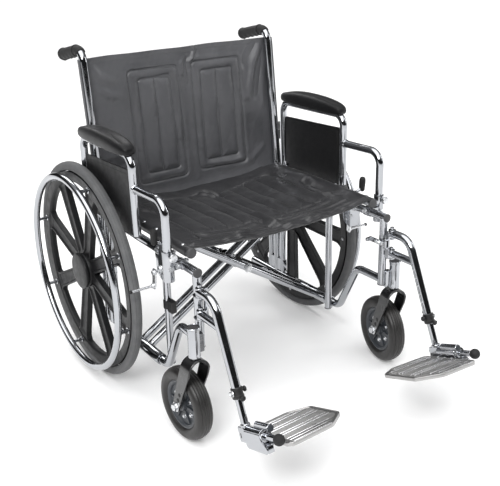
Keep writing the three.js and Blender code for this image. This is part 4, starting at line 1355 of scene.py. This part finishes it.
def seat_skins(across, along):
    """The top and the underside of the sling, as grids of points."""
    s, y = np.meshgrid(across, along)
    half, length = SEAT_RAIL_X, SEAT_BACK - SEAT_EDGE
    angle = np.clip(np.abs(s) - half, 0, None) / SEAT_WRAP
    inside = angle == 0
    depth = 17 + 12 * np.clip((y - SEAT_EDGE) / length, 0, 1) * np.clip((SEAT_BACK - y) / 120 + 0.35, 0, 1)
    shape = np.clip(1 - (np.abs(s) / (half - 6)) ** 2.2, 0, 1)
    blend_in = np.clip((half - 8 - np.abs(s)) / 30, 0, 1)
    share = np.clip((SEAT_EDGE + 46 - y) / 46, 0, 1)
    ripple, bead = front_ripple(s, y, share)
    relief = seat_relief(s, y) * blend_in
    bulge = 7 * np.clip(1 - (s / 260) ** 2, 0, 1) * share ** 2
    skins = []
    for offset, lift in ((1.6, 1.0), (-1.6, 0.25)):
        radius = SEAT_WRAP + offset
        x = np.where(inside, s, np.sign(s) * (half + radius * np.sin(angle)))
        z = np.where(inside, SEAT_RAIL_Z + SEAT_WRAP + offset, SEAT_RAIL_Z + radius * np.cos(angle))
        z = z - np.where(inside, depth * shape, 0) + lift * (relief + ripple * blend_in)
        z = z + np.sign(lift - 0.5) * bead
        z = z + 11 * np.exp(-((s - 262) / 20) ** 2 - ((y + 190) / 95) ** 2)  # slack over the left rail
        skins.append(np.stack([x, y - bulge, z], axis=-1))
    return skins


def front_hem(top, bottom, across):
    """Adds the front hem: the cloth turned round a cord-like fold."""
    radius, steps = 6.5, 10
    middle = (top[-1] + bottom[-1]) / 2
    half = (top[-1, :, 2] - bottom[-1, :, 2]) / 2
    puff = 1 + 0.5 * np.sin(across / 13 + 1.7 * np.sin(across / 47)) * 0.35
    grown = []
    for skin, sign in ((top, 1), (bottom, -1)):
        rows = []
        for k in range(1, steps):
            a = math.pi * 0.5 * k / steps
            row = middle.copy()
            row[:, 1] = middle[:, 1] - radius * puff * math.sin(a)
            row[:, 2] = middle[:, 2] + sign * half * math.cos(a) * (1 + 0.25 * math.sin(2 * a))
            rows.append(row)
        grown.append(np.concatenate([skin, np.array(rows)]))
    return grown


def seat_sling():
    step = 2.6
    total = SEAT_RAIL_X + SEAT_WRAP * math.radians(125)
    across = np.linspace(-total, total, int(2 * total / step))
    along = np.linspace(SEAT_BACK, SEAT_EDGE, int((SEAT_BACK - SEAT_EDGE) / step))
    top, bottom = front_hem(*seat_skins(across, along), across)
    made = sheet_piece("seat_sling", top, bottom, SEAT_VINYL, "seat")
    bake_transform(made)
    for side, body, sign in (("left", "brace_b", -1), ("right", "brace_a", 1)):
        tilt = Vector((sign * math.sin(0.35), 0, math.cos(0.35)))
        heads = []
        for y in np.linspace(SEAT_BACK - 20, SEAT_EDGE + 24, 7):
            foot = Vector((sign * SEAT_RAIL_X, y, SEAT_RAIL_Z)) + tilt * (SEAT_WRAP + 1.6)
            heads.append(screw(foot, tilt, 4.6, 2.2))
        piece(f"seat_screws_{side}_v", heads, STEEL, body)


# ---------------------------------------------------------------- setting
CAMERA_PLACE = Vector((-1144.4, -1988.2 + AXLE_Y, 1209.2)) * MM
AZIMUTH, ELEVATION, ROLL = math.radians(-33.84), math.radians(21.88), math.radians(-1.52)


def camera():
    data = bpy.data.cameras.new("camera")
    data.lens = 58.51
    data.sensor_width = 36
    data.clip_end = 100
    made = bpy.data.objects.new("camera", data)
    level = math.cos(ELEVATION)
    back = Vector((math.sin(AZIMUTH) * level, -math.cos(AZIMUTH) * level, math.sin(ELEVATION)))
    right = Z.cross(back).normalized()
    up = back.cross(right)
    c, s = math.cos(ROLL), math.sin(ROLL)
    right, up = right * c + up * s, up * c - right * s
    turn = Matrix((right, up, back)).transposed()
    made.matrix_world = Matrix.Translation(CAMERA_PLACE) @ turn.to_4x4()
    bpy.context.scene.camera = link(made)


def floor():
    size = 40
    mesh = bpy.data.meshes.new("floor")
    corners = [(-size, -size, 0), (size, -size, 0), (size, size, 0), (-size, size, 0)]
    mesh.from_pydata(corners, [], [(0, 1, 2, 3)])
    made = bpy.data.objects.new("floor", mesh)
    glow = {"Emission_Color": (1, 1, 1, 1), "Emission_Strength": 0.12}
    mesh.materials.append(new_material("floor", (0.9, 0.9, 0.9), 0.0, 0.8, **glow)[0])
    link(made)


def softbox(name, place, target, width, power, height):
    light = bpy.data.lights.new(name, "AREA")
    light.energy = power
    light.shape = "RECTANGLE"
    light.size = width
    light.size_y = height
    lamp = bpy.data.objects.new(name, light)
    lamp.location = place
    lamp.rotation_mode = "QUATERNION"
    lamp.rotation_quaternion = (Vector(target) - Vector(place)).to_track_quat("-Z", "Y")
    link(lamp)


def lights():
    softbox("key", (-2.6, -2.2, 3.0), (0, 0, 0.5), 1.5, 75, 1.5)
    softbox("fill", (3.4, -1.4, 1.9), (0, 0, 0.4), 0.7, 26, 1.9)
    softbox("rear", (0.5, 3.4, 2.8), (0, 0, 0.5), 1.6, 35, 1.6)
    light = bpy.data.lights.new("sky", "SUN")
    light.energy = 2.7
    light.angle = math.radians(84)
    sun = bpy.data.objects.new("sky", light)
    sun.rotation_euler = (math.radians(12), math.radians(-14), 0)
    link(sun)


def room_shades(tree):
    """Bright overhead, dark at eye level and grey below, which is what the chrome mirrors."""
    coordinates = tree.nodes.new("ShaderNodeTexCoord")
    split = tree.nodes.new("ShaderNodeSeparateXYZ")
    tree.links.new(coordinates.outputs["Generated"], split.inputs["Vector"])
    shades = tree.nodes.new("ShaderNodeValToRGB")
    tree.links.new(ramp(tree, split.outputs["Z"], -1, 1, 0, 1), shades.inputs["Fac"])
    stops = [(0.0, 0.5), (0.5, 0.5), (0.51, 0.02), (0.68, 0.03), (0.8, 0.22), (0.9, 0.5), (1.0, 0.6)]
    elements = shades.color_ramp.elements
    while len(elements) < len(stops):
        elements.new(0.5)
    for element, (at, level) in zip(elements, stops):
        element.position = at
        element.color = (level, level, level * 1.01, 1)
    return shades.outputs["Color"]


def room():
    """A studio round the chair, and a plain white one where the camera sees it directly."""
    world = bpy.data.worlds.new("studio")
    bpy.context.scene.world = world
    world.use_nodes = True
    tree = world.node_tree
    background = tree.nodes["Background"]
    background.inputs["Strength"].default_value = 1.0
    tree.links.new(room_shades(tree), background.inputs["Color"])
    backdrop = node(tree, "ShaderNodeBackground", Color=(0.93, 0.93, 0.94, 1), Strength=1.0)
    seen = tree.nodes.new("ShaderNodeLightPath")
    either = tree.nodes.new("ShaderNodeMixShader")
    tree.links.new(seen.outputs["Is Camera Ray"], either.inputs[0])
    tree.links.new(background.outputs[0], either.inputs[1])
    tree.links.new(backdrop.outputs[0], either.inputs[2])
    tree.links.new(either.outputs[0], tree.nodes["World Output"].inputs["Surface"])


camera()
floor()
lights()
room()
bpy.context.scene.view_settings.view_transform = "Standard"
for side, sign in (("right", 1), ("left", -1)):
    side_frame(side, sign)
    rear_wheel(side, sign)
    caster(side, sign)
    armrest(side, sign)
    wheel_lock(side, sign)
    legrest(side, sign)
braces()
back_sling()
seat_sling()
